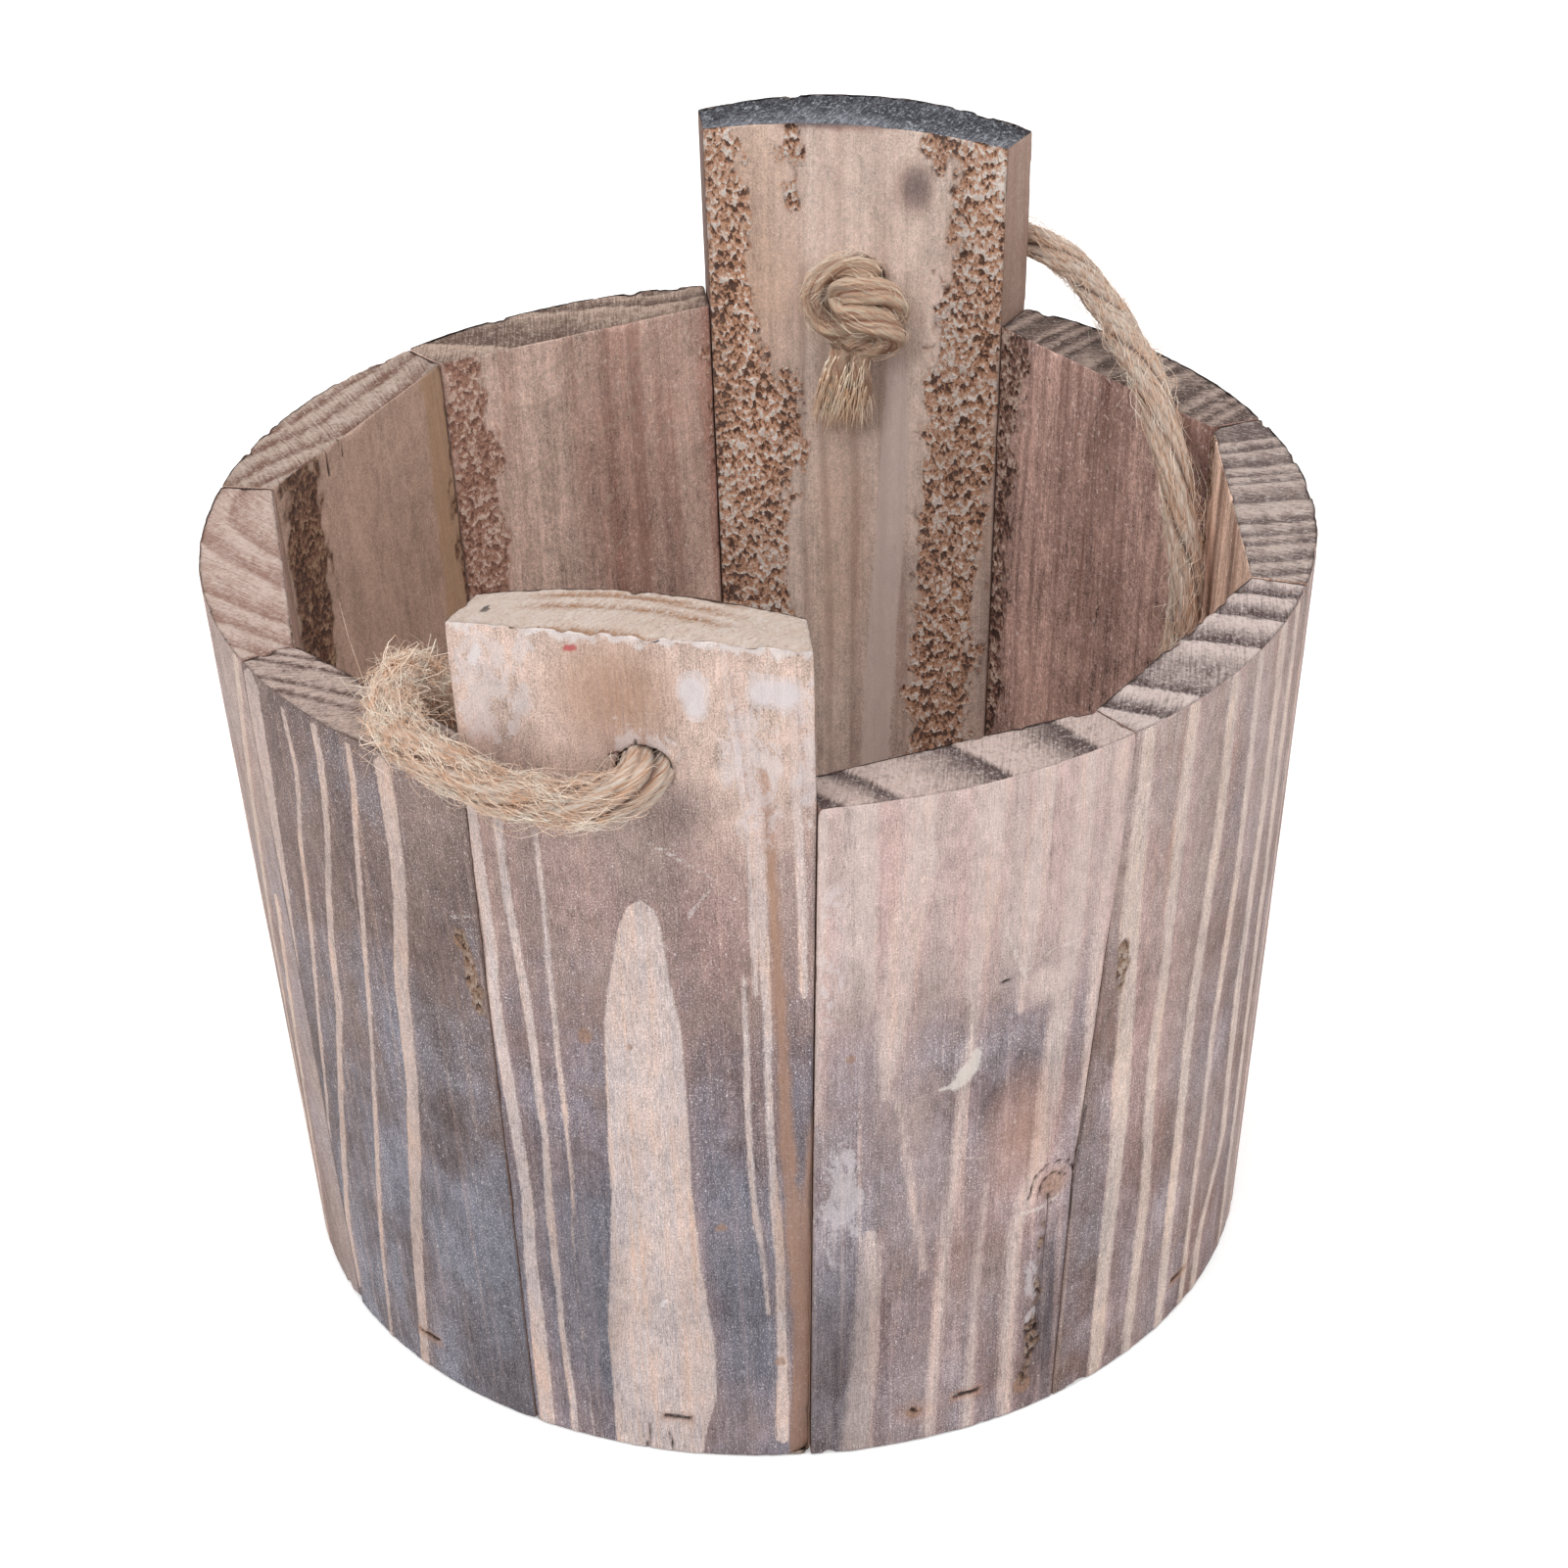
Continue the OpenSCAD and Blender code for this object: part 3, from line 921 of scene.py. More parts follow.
    def bore(self, p: Array, flat: Array, number: Array, faces: Array, uvs: Array,
             fields: dict[str, Array]) -> tuple[Array, Array, Array, dict[str, Array]]:
        """Bore the rope hole through an ear.

        Args:
            p: Vertices.
            flat: Their places across, through and up the board, before wear.
            number: Vertex numbers on the ruled block.
            faces: The faces so far.
            uvs: Their flat layout.
            fields: Fields of the vertices.

        Returns:
            The vertices, faces, layout and fields with the hole in them.
        """
        hole_r, mid_z = BARREL.hole_d / 2, BARREL.hole_z
        y, z = flat[:, 0], flat[:, 2]
        outer, inner = number[:, 0, :], number[:, -1, :]
        away = np.hypot(y - self.hole_off, z - mid_z)[outer]
        centre = (away[:-1, :-1] + away[1:, :-1] + away[1:, 1:] + away[:-1, 1:]) / 4
        cut = centre < hole_r + self.hole_spare
        keep = np.ones(len(faces), bool)
        keep[:2 * cut.size] = np.tile(~cut.ravel(), 2)
        faces, uvs = faces[keep], uvs[keep]
        follow: dict[tuple[int, int], tuple[int, int]] = {}
        padded = np.pad(cut, 1)
        for j, k in zip(*np.nonzero(cut)):
            corners = ((j, k), (j + 1, k), (j + 1, k + 1), (j, k + 1))
            beyond = (padded[j + 1, k], padded[j + 2, k + 1], padded[j + 1, k + 2], padded[j, k + 1])
            for n, open_too in enumerate(beyond):
                if not open_too:
                    follow[corners[n]] = corners[(n + 1) % 4]
        start = next(iter(follow))
        loop, at = [start], follow[start]
        while at != start:
            loop.append(at)
            at = follow[at]
        rim_out, rim_in = ([int(grid[v]) for v in loop] for grid in (outer, inner))
        turn = np.arctan2(z[rim_out] - mid_z, y[rim_out] - self.hole_off)
        ragged = 0.12 + 0.25 * hashed(np.stack([np.arange(len(loop)), turn * 0, turn * 0], -1), 9)
        for rim in (rim_out, rim_in):
            p[rim, 1] = self.hole_off + (hole_r + ragged) * np.cos(turn)
            p[rim, 2] = mid_z + (hole_r + ragged) * np.sin(turn)
        rings, extra, n = [np.array(rim_out)], [], len(p)
        for share, flare in ((0.04, 0.1), (0.1, 0), (0.3, 0), (0.5, 0), (0.7, 0), (0.9, 0), (0.96, 0.1)):
            x = p[rim_out, 0] + (p[rim_in, 0] - p[rim_out, 0]) * share
            r = hole_r - 0.05 + flare
            extra.append(np.stack([x, self.hole_off + r * np.cos(turn), mid_z + r * np.sin(turn)], -1))
            rings.append(np.arange(n, n + len(loop)))
            n += len(loop)
        rings.append(np.array(rim_in))
        strip = [np.stack([near, np.roll(near, -1), np.roll(far, -1), far], -1)
                 for near, far in zip(rings[:-1], rings[1:])]
        # The bore's faces lie above the board's own on the flat layout, a row to each ring.
        row, column = np.meshgrid(np.arange(len(rings) - 1), np.arange(len(loop)), indexing="ij")
        corner = np.stack([1 + column * 0.6, self.top + BARREL.joint_t + 4 + row * 0.9], -1) / self.layout
        patch = np.array([(0, 0), (0.6, 0), (0.6, 0.9), (0, 0.9)]) / self.layout
        faces = np.concatenate([faces, *strip])
        uvs = np.concatenate([uvs, corner.reshape(-1, 1, 2) + patch])
        p = np.concatenate([p, *extra])
        added = n - len(flat)
        more = {
            "grain_mm": np.concatenate(extra) + (300.0 * self.index, 0, 0),
            "streaks": np.full((added, 3), -9.0),
            "burn": np.tile([0.9, 0.1, 0.5], (added, 1)),
            "torn": np.tile([0.5, -0.2, 0.0], (added, 1)),
            "spot": np.tile([2.0, 0.0, 0.0], (added, 1)),
            "bleed": np.zeros((added, 3)),
        }
        return p, faces, uvs, {key: np.concatenate([fields[key], more[key]]) for key in fields}


# Materials

def linear(colour: Colour) -> tuple[float, ...]:
    """Turn a colour as seen on a screen into the numbers that Blender's sockets take."""
    lit = [c / 12.92 if c <= 0.04045 else ((c + 0.055) / 1.055) ** 2.4 for c in colour]
    return (lit[0], lit[1], lit[2], 1.0)


def operation(kind: str, swapped: bool = False) -> Callable[["Shade", Any], "Shade"]:
    """Make a method that adds one Math node.

    Args:
        kind: The node's operation.
        swapped: True puts the other value first.

    Returns:
        The method.
    """
    def act(self: "Shade", other: Any) -> "Shade":
        """Add the node.

        Args:
            other: A value or a number.

        Returns:
            Its result.
        """
        first, second = (other, self) if swapped else (self, other)
        return self.bench.node("ShaderNodeMath", {"operation": kind}, {0: first, 1: second})
    return act


class Shade:
    """A socket of a node tree. Python's operators on it add the Math nodes of the expression."""

    __add__, __radd__ = operation("ADD"), operation("ADD", True)
    __sub__, __rsub__ = operation("SUBTRACT"), operation("SUBTRACT", True)
    __mul__, __rmul__ = operation("MULTIPLY"), operation("MULTIPLY", True)
    __truediv__, __rtruediv__ = operation("DIVIDE"), operation("DIVIDE", True)
    least, most = operation("MINIMUM"), operation("MAXIMUM")

    def __init__(self, bench: "Bench", socket: bpy.types.NodeSocket) -> None:
        """Wrap a socket of a bench's tree."""
        self.bench = bench
        self.socket = socket

    def clamp(self) -> "Shade":
        """Keep the value between 0 and 1."""
        return self.bench.node("ShaderNodeMath", {"operation": "ADD", "use_clamp": True}, {0: self, 1: 0.0})

    def rise(self, low: float, high: float) -> "Shade":
        """Go from 0 at low to 1 at high."""
        return ((self - low) / (high - low)).clamp()

    def stirred(self, *noises: tuple["Shade", float]) -> "Shade":
        """Add noises to the value, each centred on 0 and times its gain.

        Args:
            noises: Each noise with its gain.

        Returns:
            The sum.
        """
        total = self
        for noise, gain in noises:
            total = total + (noise - 0.5) * gain
        return total

    def over(self, level: float, gain: float) -> "Shade":
        """Give how far the value is over a level, times a gain, up to 1."""
        return ((self - level) * gain).clamp()

    def under(self, level: float, gain: float) -> "Shade":
        """Give how far the value is under a level, times a gain, up to 1."""
        return ((level - self) * gain).clamp()


class Bench:
    """A node tree under construction."""

    def __init__(self, tree: bpy.types.NodeTree) -> None:
        """Start on an empty tree."""
        self.tree = tree
        tree.nodes.clear()

    def node(self, kind: str, settings: dict[str, Any] | None = None, inputs: dict[Any, Any] | None = None,
             output: Any = 0) -> Shade:
        """Add any node.

        Args:
            kind: The node's type.
            settings: Its settings, which are set first. The stops of a ramp are (place, colour) pairs.
            inputs: Values or links of its sockets, by name or number.
            output: The output to give back, by name or number.

        Returns:
            That output.
        """
        made = self.tree.nodes.new(kind)
        for key, value in (settings or {}).items():
            if key == "stops":
                ramp = made.color_ramp.elements
                while len(ramp) < len(value):
                    ramp.new(0.5)
                for stop, (place, colour) in zip(ramp, value):
                    stop.position, stop.color = place, linear(colour)
            else:
                setattr(made, key, value)
        for key, value in (inputs or {}).items():
            if isinstance(value, Shade):
                self.tree.links.new(value.socket, made.inputs[key])
            elif isinstance(value, tuple) and made.inputs[key].type == "RGBA":
                made.inputs[key].default_value = linear(value)
            else:
                made.inputs[key].default_value = value
        return Shade(self, made.outputs[output] if len(made.outputs) else None)

    def field(self, name: str) -> Shade:
        """Read one of a mesh's own fields."""
        return self.node("ShaderNodeAttribute", {"attribute_name": name}, {}, "Vector")

    def split(self, vector: Shade) -> tuple[Shade, Shade, Shade]:
        """Take a vector's three numbers apart."""
        parts = self.node("ShaderNodeSeparateXYZ", {}, {0: vector})
        return tuple(Shade(self, parts.socket.node.outputs[k]) for k in range(3))

    def stretch(self, vector: Shade, by: Triple) -> Shade:
        """Scale a vector along each axis."""
        return self.node("ShaderNodeVectorMath", {"operation": "MULTIPLY"}, {0: vector, 1: by})

    def noise(self, vector: Shade, by: Triple, detail: float = 3.0, rough: float = 0.55,
              wander: float = 0.0) -> Shade:
        """Add noise of a given fineness along each axis.

        Args:
            vector: Where it is read.
            by: Bumps for each unit along each axis.
            detail: Finer layers.
            rough: How strong the finer layers are.
            wander: How far it is bent.

        Returns:
            Values round 0.5.
        """
        sockets = {"Vector": self.stretch(vector, by), "Scale": 1.0, "Detail": detail, "Roughness": rough,
                   "Distortion": wander}
        return self.node("ShaderNodeTexNoise", {}, sockets, "Fac")

    def mix(self, first: Value, second: Value, share: Any, blend: str = "MIX") -> Shade:
        """Mix two colours.

        Args:
            first: Colour at a share of 0.
            second: Colour at a share of 1.
            share: How much of the second.
            blend: The node's way of mixing.

        Returns:
            The colour.
        """
        settings = {"data_type": "RGBA", "blend_type": blend, "clamp_factor": True}
        return self.node("ShaderNodeMix", settings, {0: share, 6: first, 7: second}, 2)

    def coats(self, base: Value, *coats: tuple[Value, Any]) -> Value:
        """Lay colours over a base one after another.

        Args:
            base: The colour under them.
            coats: Each colour with its share.

        Returns:
            The colour.
        """
        for colour, share in coats:
            base = self.mix(base, colour, share)
        return base


def new_material(name: str) -> tuple[bpy.types.Material, Bench]:
    """Make an empty node material.

    Args:
        name: The material's name.

    Returns:
        The material and a bench to build it on.
    """
    material = bpy.data.materials.new(name)
    material.use_nodes = True
    return material, Bench(material.node_tree)


def finish_surface(bench: Bench, colour: Shade, height: Shade, depth: float, rough: Any, sheen: float = 0.0,
                   gloss: float = 0.3, metal: Any = 0.0, bumped: float = 1.0) -> None:
    """End a material in its surface.

    Args:
        bench: The material's bench.
        colour: Base colour.
        height: Height of the fine relief, from 0 to 1.
        depth: What a height of 1 stands for, in metres.
        rough: Roughness.
        sheen: Sheen weight.
        gloss: Specular level.
        metal: How metallic it is.
        bumped: Strength of the relief.
    """
    sockets = {"Strength": bumped, "Distance": depth, "Height": height}
    bump = bench.node("ShaderNodeBump", {}, sockets, "Normal")
    surface = bench.node("ShaderNodeBsdfPrincipled", {}, {
        "Base Color": colour, "Roughness": rough, "Normal": bump, "Sheen Weight": sheen,
        "Specular IOR Level": gloss, "Metallic": metal})
    bench.node("ShaderNodeOutputMaterial", {}, {"Surface": surface})


@dataclass(frozen=True)
class BoardFinish:
    """Torched, brushed and whitewashed fir."""

    colours: FirFinish
    saw_turn: float = 45.0

    def make(self, name: str) -> bpy.types.Material:
        """Build the material.

        Args:
            name: The material's name.

        Returns:
            The material.
        """
        k = self.colours
        material, b = new_material(name)
        g = b.field("grain_mm")
        pale, crack, scar = b.split(b.field("streaks"))
        char, haze, raw = b.split(b.field("burn"))
        torn, flake, end = b.split(b.field("torn"))
        edge, inner, knot = b.split(b.field("spot"))
        bleed, rose, smear = b.split(b.field("bleed"))

        calm = ((b.noise(g, (0.16, 0.2, 0.02), 3, 0.6) - 0.36) * 4.0).clamp() * 0.65 + 0.25
        fibre = (b.noise(g, (2.4, 2.4, 0.05), 4, 0.66) - 0.5) * (calm + inner * 0.05) + 0.5
        hair = b.noise(g, (5.5, 5.5, 0.3), 2, 0.6)
        streak = b.noise(g, (0.62, 0.62, 0.011), 4, 0.68)
        blotch = b.noise(g, (0.10, 0.12, 0.045), 5, 0.66)
        cloud = b.noise(g, (0.045, 0.06, 0.04), 4, 0.6)
        grit = b.noise(g, (1.5, 1.5, 1.0), 4, 0.75)
        dust = b.noise(g, (3.6, 3.6, 2.6), 2, 0.7)
        pit = b.noise(g, (0.62, 0.62, 0.40), 4, 0.72, 0.6)
        mottle = b.noise(g, (0.42, 0.42, 0.22), 3, 0.6, 0.4)
        nick = b.noise(g, (1.5, 1.5, 0.9), 2, 0.6)
        low = b.split(g)[2].rise(50.0, 150.0)

        # Burnt ground under a whitewash, which stays in the open grain
        char_now = char.stirred((blotch, 1.6), (streak, 1.5 * k.streaky), (grit, 0.8)).clamp()
        haze_now = haze.stirred((cloud, 2.4), (blotch, 1.2), (fibre, 0.5)) * (char_now * 1.1)
        ragged = ((fibre - 0.5) * 0.7).stirred((blotch, 1.0), (grit, 0.55), (streak, k.soft * 2.4))
        lines = (pale + ragged).rise(-0.1 - k.soft, 0.1 + k.soft) * (1.0 - k.soft * 0.35)
        warmth = ((streak - 0.42) * 2.5 + (fibre - 0.5) * 1.6 + (blotch - 0.47) * 3.0).clamp() * 0.8
        ground = b.coats(
            b.mix(k.unburnt, k.brown, char_now),
            (k.grey, haze_now.clamp()),
            (k.rose, (blotch.over(0.52, 3.0) * 0.35 + bleed * 0.55 + rose).clamp() * 0.8),
            (b.mix(k.pale, k.warm, warmth), lines * (0.55 + 0.45 * char_now)))
        speck = dust.over(0.595, 16.0) * cloud.over(0.28, 3.0)
        charred = (char - 1.0).clamp() * (0.75 + 0.25 * fibre)
        outer = b.coats(
            ground,
            (k.warm, streak.over(0.52, 5.0) * (0.40 * k.streaky)),
            (k.brown, streak.under(0.47, 5.0) * (0.22 - 0.12 * lines) * k.streaky),
            (k.brown, fibre.under(0.46, 3.2) * (0.22 + 0.14 * char_now) * (1.0 - 0.5 * lines)),
            (k.wash, fibre.over(0.55, 3.2) * 0.38),
            (k.dirt, grit.under(0.44, 3.5) * (0.08 + 0.34 * char_now)),
            (k.wash, grit.over(0.55, 4.0) * (0.16 + 0.14 * char_now)),
            (k.wash, speck * (0.22 + 0.58 * char_now)),
            (k.dirt, dust.under(0.40, 14.0) * (0.08 + 0.30 * char_now)),
            (k.wash, nick.over(0.63, 14.0) * (0.12 + 0.40 * char_now)),
            (k.dirt, nick.under(0.37, 12.0) * (0.10 + 0.25 * char_now)),
            (k.charred, charred))

        # The inside has less burn and no brushing
        broad = b.noise(g, (0.13, 0.13, 0.004), 3, 0.75)
        shaded = char * 0.6 + ((streak - 0.5) * 3.2 + (broad - 0.5) * 5.0) * k.rubbed + (blotch - 0.5) * 0.8
        inside = b.coats(
            b.mix(k.inner, k.inner_dark, shaded.clamp()),
            (k.inner_dark, (pale + (grit - 0.5) * 1.2 + (blotch - 0.5)).rise(-0.4, 0.6) * 0.45),
            (k.rose, (rose + (blotch - 0.5) * rose).clamp() * 0.8),
            (k.inner_dark, fibre.under(0.47, 3.4) * (0.75 * k.rubbed)),
            (k.warm, fibre.over(0.54, 2.8) * (0.5 * k.rubbed)),
            (k.dirt, grit.under(0.45, 3.0) * (0.25 * k.calm)),
            (k.wash, dust.over(0.60, 8.0) * (0.30 * k.calm)),
            (k.wash, nick.over(0.62, 12.0) * (0.7 * k.rubbed)),
            (k.charred, charred))

        # Both sides vary in tone, from speck to speck and from cloud to cloud
        thread = b.noise(g, (3.2, 3.2, 0.16), 2, 0.7)
        tone = ((fibre - 0.5) * 0.5).stirred(
            (streak, 0.45 + 0.9 * k.soft), (grit, 1.0), (blotch, 1.3), (dust, 1.9), (cloud, 0.6),
            (mottle, 0.9))
        rubbed = ((thread - 0.5) * 1.3 + (streak - 0.5) * 1.4 + (nick - 0.5) * 1.0) * k.rubbed
        tone = tone * (1.0 - 0.35 * lines) + rubbed * inner
        calmed = tone * (1.0 - (1.0 - k.calm) * (1.0 - 0.8 * char_now * (1.0 - inner)))
        tone = calmed + (hair - 0.5) * (0.8 + 0.5 * char_now) * (1.0 - inner)
        # Lower down, the inner face is painted darker: painted shade deep in the barrel.
        tone = (tone + 1.0 - 0.20 * inner * (1.0 - low)).least(1.4)
        face = b.mix(b.mix(outer, inside, inner), tone, 1.0, "MULTIPLY")

        # Bare wood, scars, smears, flecks and knots
        raw_colour = b.mix(k.raw, k.brown, fibre.under(0.55, 3.0) * 0.8)
        raw_colour = b.mix(raw_colour, k.pale, grit.over(0.53, 4.0) * 0.4)
        scar_now = scar.stirred((dust, 0.9), (grit, 0.7)).rise(-0.2, 0.35)
        daub = b.noise(g, (0.28, 0.3, 0.16), 4, 0.7, 0.8)
        smeared = smear * 1.4 + (daub - 0.5) * 3.4 + (grit - 0.5) * 0.5 - 0.25
        smear_now = smeared.rise(0.12, 0.42) * smear.rise(0.0, 0.25)
        face = b.coats(
            face,
            (raw_colour, raw * (0.55 + 0.35 * streak)),
            (b.mix(k.wash, k.inner_pale, inner), scar_now * (0.42 + 0.5 * fibre)),
            (k.smeared, smear_now * (0.10 + 0.55 * daub + 0.38 * smear.rise(0.9, 1.5))),
            (k.fleck, (0.0 - smear + (dust - 0.5) * 0.8).rise(0.7, 1.6) * 0.85),
            (b.mix(k.torn_tan, k.dirt, grit.under(0.53, 5.0)),
             knot.stirred((dust, 0.6)).rise(0.1, 0.5) * 0.6))

        # Torn grain: each chip stands out at its lower end, and its upper end is a pit
        # Partly painted light: painted shadow in the pit, a painted highlight on the lip, lighter on higher
        # flakes.
        wander = b.node("ShaderNodeTexNoise", {}, {"Vector": g, "Scale": 0.9, "Detail": 2.0}, "Color")
        bent = b.node("ShaderNodeVectorMath", {"operation": "ADD"}, {
            0: b.stretch(g, (1.05, 0.0, 0.50)), 1: b.stretch(wander, (1.7, 0.0, 1.3))})
        sockets = {"Vector": bent, "Scale": 1.0, "Randomness": 1.0}
        cells = b.node("ShaderNodeTexVoronoi", {"feature": "F1"}, sockets).socket.node
        luck = b.split(Shade(b, cells.outputs["Color"]))[0]
        from_heart = {0: bent, 1: Shade(b, cells.outputs["Position"])}
        rise = b.split(b.node("ShaderNodeVectorMath", {"operation": "SUBTRACT"}, from_heart))[2]
        chip = (0.47 - rise * 0.8).stirred((luck, 0.6)) + flake * 0.22
        chip = chip.stirred((grit, 1.5), (nick, 1.1), (blotch, 1.3), (pit, 0.8))
        stops = ((0.08, k.torn_pit_shadow), (0.30, k.torn_tan), (0.62, k.torn_pale), (0.92, k.torn_lip_highlight))
        torn_colour_and_shading = b.node("ShaderNodeValToRGB", {"stops": stops}, {0: chip.clamp()})
        torn_colour_and_shading = b.mix(torn_colour_and_shading, 1.22 - char * 0.38, 1.0, "MULTIPLY")
        torn_now = torn.stirred((dust, 0.7), (grit, 0.6)).rise(0.2, 0.7) * torn.rise(0.02, 0.2)
        face = b.mix(face, b.mix(torn_colour_and_shading, face, 0.12), torn_now * (0.6 + 0.4 * (blotch * 2.0).clamp()))

        # End grain: ring bands, crossed by the marks of the saw
        saw_at = b.node("ShaderNodeMapping", {"vector_type": "POINT"}, {
            "Vector": g, "Rotation": (0.0, 0.0, -math.radians(self.saw_turn))})
        saw = b.noise(saw_at, (0.16, 2.6, 0.3), 5, 0.72)
        worn = b.noise(g, (0.11, 0.3, 0.1), 4, 0.7, 0.5)
        ring = pale.stirred((saw, 1.7 * k.sawn), (grit, 0.9), (worn, 1.7 * k.sawn)).clamp()
        end_face = b.coats(
            b.mix(k.end_dark, k.end_light, ring),
            (k.end_dark, saw.under(0.50, 6.0) * (0.85 - 0.45 * ring) * k.sawn),
            (k.end_pale, saw.over(0.52, 6.0) * (0.15 + 0.55 * ring)),
            (k.dirt, grit.under(0.47, 5.0) * (0.55 - 0.3 * ring)),
            (k.wash, dust.over(0.58, 8.0) * 0.35),
            (k.end_pale, nick.over(0.57, 9.0) * 0.6),
            (k.end_dark, nick.under(0.42, 9.0) * (0.5 * k.sawn)),
            (k.end_dark, pit.under(0.45, 7.0) * (0.6 * k.sawn)),
            (k.end_pale, pit.over(0.55, 7.0) * 0.5),
            (k.dirt, knot.stirred((dust, 0.6)).rise(0.3, 0.5) * 0.8))

        # Dirt and char gather along the arrises and in cracks
        rim = (0.55 - edge).stirred((grit, 2.2), (cloud, 2.4), (blotch, 2.2)).rise(0.0, 0.9)
        face = b.coats(
            face,
            (end_face, end),
            (k.dirt, rim * (0.22 + 0.35 * char.clamp())),
            (k.dirt, crack.stirred((dust, 0.3)).rise(-0.12, 0.1) * 0.9))

        relief = fibre * 0.55 + hair * 0.22 + lines * 0.30 * (1.0 - inner) + grit * 0.30 + dust * 0.12
        relief = relief + torn_now * ((chip - 0.50) * (2.2 * k.tear))
        relief = relief + end * (saw * 2.0 + grit * 1.2 + hair * 0.4)
        relief = relief - crack.rise(-0.25, 0.15) * 1.2
        finish_surface(b, face, relief, 0.00045, 0.84 - 0.12 * (1.0 - fibre), 0.0, 0.2)
        return material


@dataclass(frozen=True)
class PlainFirFinish:
    """Planed fir for the floor boards, which the photograph doesn't show."""

    light: Colour = (0.70, 0.58, 0.49)
    dark: Colour = (0.50, 0.38, 0.31)
    pore: Colour = (0.30, 0.22, 0.18)

    def make(self, name: str, shift: float) -> bpy.types.Material:
        """Build the material, whose grain runs along Y.

        Args:
            name: The material's name.
            shift: Moves the pattern, in metres.

        Returns:
            The material.
        """
        material, b = new_material(name)
        at = b.node("ShaderNodeTexCoord", {}, {}, "Object")
        moved = b.node("ShaderNodeVectorMath", {"operation": "ADD"}, {0: at, 1: (shift, 0.0, 0.0)})
        sway = b.noise(moved, (30, 8, 30), 3)
        x, y, z = b.split(moved)
        ring = b.node("ShaderNodeMath", {"operation": "SINE"}, {0: (x + z * 0.6) * 1150.0 + sway * 9.0})
        fibre = b.noise(moved, (2200, 70, 2200), 4, 0.6)
        fleck = b.noise(moved, (900, 260, 900), 3, 0.6)
        colour = b.coats(
            b.mix(self.light, self.dark, (ring * 0.32 + 0.42 + (fibre - 0.5) * 0.9).clamp()),
            (self.pore, fibre.under(0.44, 3.0) * 0.6), (self.pore, fleck.under(0.40, 5.0) * 0.4))
        finish_surface(b, colour, fibre * 0.7 + ring * 0.1, 0.0003, 0.85)
        return material


@dataclass(frozen=True)
class WireFinish:
    """Dull zinc on the staples, with rust."""

    zinc: Colour = (0.58, 0.58, 0.59)
    rust: Colour = (0.38, 0.24, 0.17)
    drawn: Colour = (0.30, 0.29, 0.29)

    def make(self, name: str) -> bpy.types.Material:
        """Build the wire's material.

        Args:
            name: The material's name.

        Returns:
            The material.
        """
        material, b = new_material(name)
        at = b.node("ShaderNodeTexCoord", {}, {}, "Object")
        patch = b.noise(at, (700, 700, 700), 4, 0.65)
        line = b.noise(at, (300, 300, 5200), 2, 0.5)
        rusted = patch.rise(0.50, 0.62)
        colour = b.mix(b.mix(self.zinc, self.rust, rusted), self.drawn, line.rise(0.55, 0.75) * 0.5)
        rough, metal = 0.42 + 0.4 * rusted, 0.9 - 0.8 * rusted
        finish_surface(b, colour, line + patch, 0.00008, rough, 0.0, 0.5, metal, 0.6)
        return material


@dataclass(frozen=True)
class JuteFinish:
    """Jute yarn, read along and round each strand."""

    light: Colour = (1.0, 0.93, 0.865)
    tan: Colour = (0.91, 0.71, 0.57)
    shade: Colour = (0.42, 0.24, 0.15)
    hair_dark: Colour = (0.90, 0.71, 0.57)
    hair_light: Colour = (1.0, 0.96, 0.90)

    def make(self, name: str) -> bpy.types.Material:
        """Build the rope's material, for meshes with a lay field.

        Args:
            name: The material's name.

        Returns:
            The material.
        """
        material, b = new_material(name)
        lay = b.field("lay")
        groove = b.split(b.field("strand"))[0]
        fibre = b.noise(lay, (0.16, 2.4, 2.4), 5, 0.72, 0.6)
        fine = b.noise(lay, (0.45, 6.0, 6.0), 3, 0.7, 0.3)
        patch = b.noise(lay, (0.07, 0.35, 0.35), 3, 0.6)
        knobbly = b.noise(lay, (0.22, 1.1, 1.1), 2, 0.6)
        bright = (fibre - 0.5) * 5.5 + (fine - 0.5) * 3.5 + (patch - 0.5) * 1.6 + 0.55
        colour = b.coats(
            b.mix(self.tan, self.light, bright.clamp()),
            (self.shade, ((0.46 - fibre) * 8.0 + (0.44 - fine) * 7.0).clamp() * 0.8),
            (self.tan, knobbly.under(0.50, 6.0) * 0.6),
            # Painted shade: the grooves between the strands and yarns are darkened with the shade colour.
            (self.shade, (groove * (0.85 + 0.5 * fine)).clamp() * 0.95))
        finish_surface(b, colour, fibre * 1.4 + fine * 0.9 - groove * 0.4, 0.0010, 0.92, 0.25, 0.15)
        return material

    def make_hair(self, name: str) -> bpy.types.Material:
        """Build the material of loose fibres.

        Args:
            name: The material's name.

        Returns:
            The material.
        """
        material, b = new_material(name)
        at = b.node("ShaderNodeTexCoord", {}, {}, "Object")
        tone = b.noise(at, (260, 260, 260), 2, 0.5)
        fine = b.noise(at, (1500, 1500, 1500), 2, 0.5)
        colour = b.mix(self.hair_dark, self.hair_light, (tone * 2.6 - 0.75 + (fine - 0.5) * 1.6).clamp())
        finish_surface(b, colour, fine, 0.00005, 0.85, 0.2, 0.25)
        return material


# The rope

def smooth_route(route: Sequence[Triple], steps: int) -> Array:
    """Draw the same smooth line through a route's points as the part's source does.

    Args:
        route: The route's points.
        steps: Steps to each span.

    Returns:
        The line's points.
    """
    points, last, line = np.array(route, float), len(route) - 1, []
    for k in range(last):
        a, b, c, d = points[max(k - 1, 0)], points[k], points[k + 1], points[min(k + 2, last)]
        for s in range(steps):
            t = s / steps
            line.append(0.5 * (2 * b + (c - a) * t + (2 * a - 5 * b + 4 * c - d) * t * t
                               + (3 * b - a - 3 * c + d) * t ** 3))
    line.append(points[last])
    return np.array(line)


